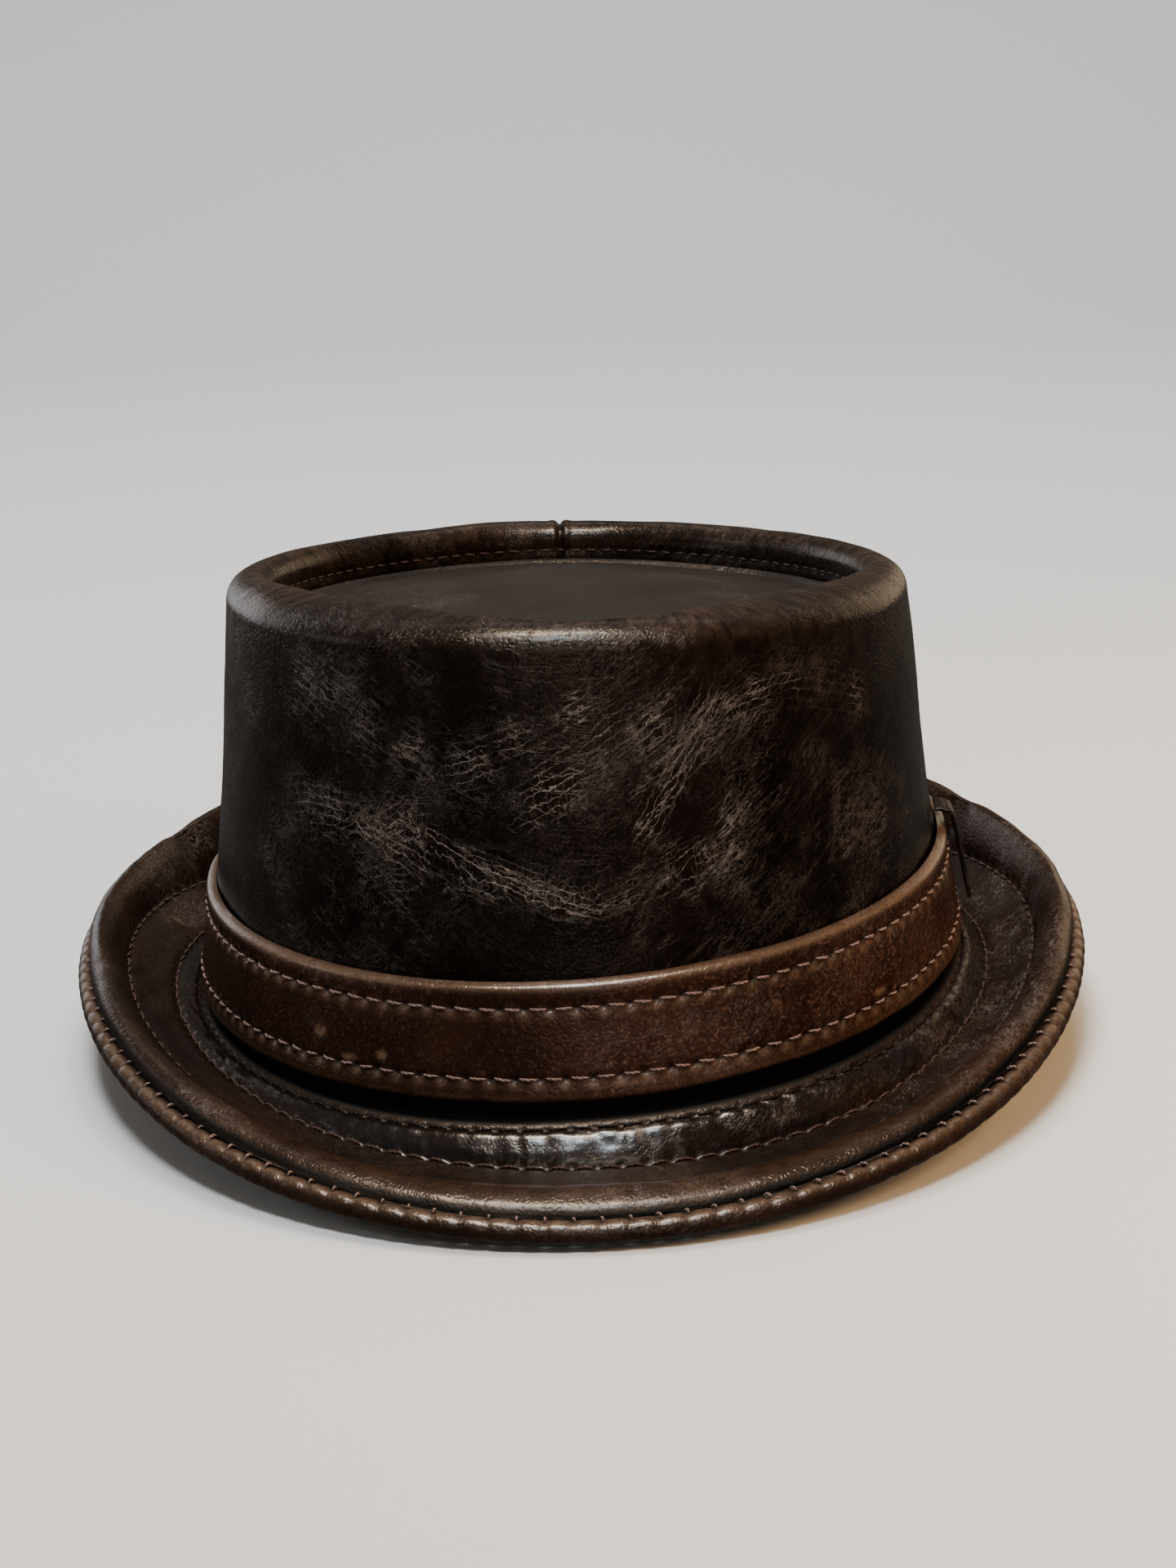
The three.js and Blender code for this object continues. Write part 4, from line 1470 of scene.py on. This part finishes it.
# Name, place, spot aimed at, size, power, tint and what the lamp gives: both, gloss or matt light
LAMPS = (
    ("key lamp", (-0.10, -0.40, 1.15), (0, -0.03, 0.06), (0.30, 0.18), 11, (0.97, 0.98, 1), "both"),
    ("top lamp", (0, 0.45, 1.5), (0, 0.15, 0), (0.9, 0.6), 20, (1, 0.985, 0.96), "matt"),
    ("upper gloss lamp", (-0.06, -0.28, 1.10), (0, -0.03, 0.06), (0.62, 0.08), 40, (1, 0.92, 0.80), "gloss"),
    ("front gloss lamp", (-0.05, -0.66, 0.95), (0, -0.12, 0.02), (0.22, 0.12), 17, (0.68, 0.85, 1), "gloss"),
    ("low gloss lamp", (0.05, -1.40, 0.42), (0, 0, 0.06), (0.55, 0.30), 4, (1, 0.95, 0.9), "gloss"),
    ("left edge lamp", (-0.9, 1.2, 0.35), (0, 0, 0.06), (0.8, 0.7), 3.2, (0.98, 0.97, 1), "gloss"),
    ("right edge lamp", (0.9, 1.2, 0.35), (0, 0, 0.06), (0.8, 0.7), 2.2, (1, 0.78, 0.50), "gloss"),
    ("right warm lamp", (0.50, -0.20, 0.34), (0.30, -0.08, 0), (0.30, 0.30), 2.6, (1, 0.60, 0.26), "matt"),
    ("left cool lamp", (-1.3, 0.1, 0.5), (0, 0, 0.06), (0.25, 0.4), 2, (0.92, 0.96, 1), "both"),
    ("backdrop lamp", (0, 1.3, 1.7), (0, 2.6, 0.2), (1.6, 0.8), 25, (0.97, 0.99, 1), "both"),
)
WORLD_COLOUR = (1.0, 0.90, 0.80, 1.0)
WORLD_STRENGTH = 0.12

# Camera fitted to the view: place in metres from below the middle of the crown's foot, turns in radians,
# focal length in picture heights
CAMERA_PLACE = (-0.0089, -0.6268, 0.2250)
CAMERA_YAW = 0.0195
CAMERA_PITCH = 0.2676
CAMERA_ROLL = -0.0377
CAMERA_FOCAL = 3300 / 1920
SENSOR = 36


# Floor: radius of its first ring, of its fine part, of its flat and of the whole, in metres, and its curve
FLOOR_START = 0.02
FLOOR_FINE = 1.3
FLOOR_FLAT = 1.5
FLOOR_END = 4.2
FLOOR_CURVE = 0.42


def floor_surface():
    """A level disc that curves up into a wall all round: height grows as the square past its flat."""
    fine = np.linspace(FLOOR_START, FLOOR_FINE, 30)
    radius = np.concatenate([fine, np.linspace(FLOOR_FINE, FLOOR_END, 60)[1:]]).reshape(-1, 1)
    angle = np.linspace(0, TURN, FLOOR_SIDES, endpoint=False)
    height = FLOOR_CURVE * np.maximum(radius - FLOOR_FLAT, 0) ** 2
    points = np.stack([radius * np.cos(angle), radius * np.sin(angle), height + 0 * angle], -1)
    faces, _ = grid_faces(*points.shape[:2])
    flat = np.concatenate([points.reshape(-1, 3), [[0, 0, 0]]])
    fan = end_fans(*points.shape[:2], len(flat) - 1, 0)[0]
    return mesh_object("floor", flat, faces[:, ::-1], fan[:, ::-1])


def soft_lamp(name, place, spot_at, size, power, tint, gives):
    """A rectangular area lamp that faces a spot, for gloss, for matt light or for both."""
    data = bpy.data.lights.new(name, "AREA")
    data.shape = "RECTANGLE"
    data.size, data.size_y = size
    data.energy = power
    data.color = tint
    lamp = bpy.data.objects.new(name, data)
    bpy.context.scene.collection.objects.link(lamp)
    lamp.location = place
    lamp.rotation_euler = (Vector(spot_at) - Vector(place)).to_track_quat("-Z", "Y").to_euler()
    lamp.visible_diffuse = gives != "gloss"
    lamp.visible_glossy = gives != "matt"
    lamp.visible_camera = False


def place_camera(context):
    """Puts the camera where it was fitted: turned by its yaw, pitched down, then rolled about its view."""
    data = bpy.data.cameras.new("camera")
    data.sensor_width = SENSOR
    data.lens = CAMERA_FOCAL * SENSOR
    data.clip_start = 0.01
    data.clip_end = 50
    camera = bpy.data.objects.new("camera", data)
    context.scene.collection.objects.link(camera)
    upright = Matrix.Rotation(math.pi / 2, 4, "X")
    turn = Matrix.Rotation(-CAMERA_YAW, 4, "Z") @ Matrix.Rotation(-CAMERA_PITCH, 4, "X")
    roll = Matrix.Rotation(CAMERA_ROLL, 4, "Z")
    middle = Vector((0, HatForm(context.scene).shift, 0))
    camera.matrix_world = Matrix.Translation(Vector(CAMERA_PLACE) + middle) @ turn @ upright @ roll
    context.scene.camera = camera


# Operators, one for each piece or group of like pieces

class HAT_OT_crown(Operator):
    """Make the crown's side with its rolled rim and the stitches inside it"""
    bl_idname = "hat.crown"
    bl_label = "Crown side"

    def execute(self, context):
        form = HatForm(context.scene)
        piece, path, up = make_crown_side(form)
        dress(piece, leather("crown_leather"), "crown_leather", "crown_side", "crown_rim")
        phase, count = form.stitch_phase(path, form.thread.pitch * RIM_PITCH)
        row = make_stitches("crown_rim_stitches", form, path, up, phase, count, thickness=RIM_THREAD)
        dress(row, thread_material("dark_thread"), "crown_leather")
        return {"FINISHED"}


class HAT_OT_tip(Operator):
    """Make the sunken top of the crown"""
    bl_idname = "hat.tip"
    bl_label = "Crown tip"

    def execute(self, context):
        piece = make_crown_tip(HatForm(context.scene))
        dress(piece, leather("tip_leather"), "tip_leather", "crown_tip")
        return {"FINISHED"}


class HAT_OT_brim(Operator):
    """Make both layers of the brim and the stitches of its three seams"""
    bl_idname = "hat.brim"
    bl_label = "Brim"

    def execute(self, context):
        form = HatForm(context.scene)
        upper, seams = make_brim_upper(form)
        dress(upper, leather("brim_leather"), "brim_leather", "brim_upper")
        under, under_seams = make_brim_under(form)
        dress(under, leather("under_leather"), "brim_leather", "brim_under")
        for number, (path, up) in enumerate(seams, 1):
            phase, count = form.stitch_phase(path, form.thread.brim_pitch)
            path = path - up * form.thread.dip * 0.35
            row = make_stitches(f"brim_stitches_{number}", form, path, up, phase, count)
            # The first seam's thread is a darker copy with painted shade, as it lies in the band's shadow
            dress(row, thread_material("black_thread" if number == 1 else "dark_thread"), "brim_leather")
        for number, path in enumerate(under_seams, 2):
            phase, count = form.stitch_phase(path, form.thread.brim_pitch)
            down = np.zeros_like(path)
            down[:, 2] = -1
            path = path + np.array([0, 0, form.thread.radius * 2.0])
            row = make_stitches(f"under_stitches_{number}", form, path, down, phase, count)
            dress(row, thread_material("dark_thread"), "brim_leather")
        return {"FINISHED"}


class HAT_OT_lip(Operator):
    """Make the rounded lip and the stitches that wrap it"""
    bl_idname = "hat.lip"
    bl_label = "Brim lip"

    def execute(self, context):
        form = HatForm(context.scene)
        piece, phase, count, centre = make_lip(form)
        dress(piece, leather("lip_leather"), "lip_leather", "brim_edge_lip")
        dress(make_lip_stitches(form, phase, count, centre), thread_material(), "lip_leather")
        return {"FINISHED"}


class HAT_OT_band(Operator):
    """Make the hat band, its two rows of stitches and its keeper"""
    bl_idname = "hat.band"
    bl_label = "Band and keeper"

    def execute(self, context):
        form = HatForm(context.scene)
        piece, lines = make_band(form)
        dress(piece, leather("band_leather"), "band_leather", "hat_band")
        for number, (path, up, phase, count) in enumerate(lines, 1):
            row = make_stitches(f"band_stitches_{number}", form, path, up, phase, count, lean=0.5)
            dress(row, thread_material(), "band_leather")
        dress(make_keeper(form), leather("keeper_leather"), "band_leather", "band_keeper")
        return {"FINISHED"}


class HAT_OT_stage(Operator):
    """Make the floor, the lamps and the camera"""
    bl_idname = "hat.stage"
    bl_label = "Stage"

    def execute(self, context):
        floor = floor_surface()
        floor.data.materials.append(plain_floor(context.scene.hat_finish))
        floor.visible_glossy = False
        world = bpy.data.worlds.new("studio")
        world.use_nodes = True
        background = world.node_tree.nodes["Background"]
        background.inputs["Color"].default_value = WORLD_COLOUR
        background.inputs["Strength"].default_value = WORLD_STRENGTH
        context.scene.world = world
        for lamp in LAMPS:
            soft_lamp(*lamp)
        place_camera(context)
        return {"FINISHED"}


class HAT_PT_panel(Panel):
    """Buttons that make the hat's pieces"""
    bl_label = "Porkpie hat"
    bl_space_type = "VIEW_3D"
    bl_region_type = "UI"
    bl_category = "Hat"

    def draw(self, context):
        for operator in OPERATORS:
            self.layout.operator(operator.bl_idname)
        for name in GROUPS:
            box = self.layout.box()
            group = getattr(context.scene, name)
            for key in group.__annotations__:
                box.prop(group, key)


OPERATORS = (HAT_OT_crown, HAT_OT_tip, HAT_OT_brim, HAT_OT_lip, HAT_OT_band, HAT_OT_stage)
GROUPS = {
    "hat_crown": HatCrown,
    "hat_brim": HatBrim,
    "hat_band": HatBand,
    "hat_thread": HatThread,
    "hat_finish": HatFinish,
}


def register():
    """Registers the sizes, the operators and the panel."""
    for name, group in GROUPS.items():
        bpy.utils.register_class(group)
        setattr(bpy.types.Scene, name, PointerProperty(type=group))
    for operator in OPERATORS:
        bpy.utils.register_class(operator)
    bpy.utils.register_class(HAT_PT_panel)


def unregister():
    """Takes back what register added."""
    bpy.utils.unregister_class(HAT_PT_panel)
    for operator in reversed(OPERATORS):
        bpy.utils.unregister_class(operator)
    for name, group in reversed(GROUPS.items()):
        delattr(bpy.types.Scene, name)
        bpy.utils.unregister_class(group)


def main():
    """Makes every piece in order."""
    register()
    bpy.ops.hat.crown()
    bpy.ops.hat.tip()
    bpy.ops.hat.brim()
    bpy.ops.hat.lip()
    bpy.ops.hat.band()
    bpy.ops.hat.stage()


if __name__ == "__main__":
    main()
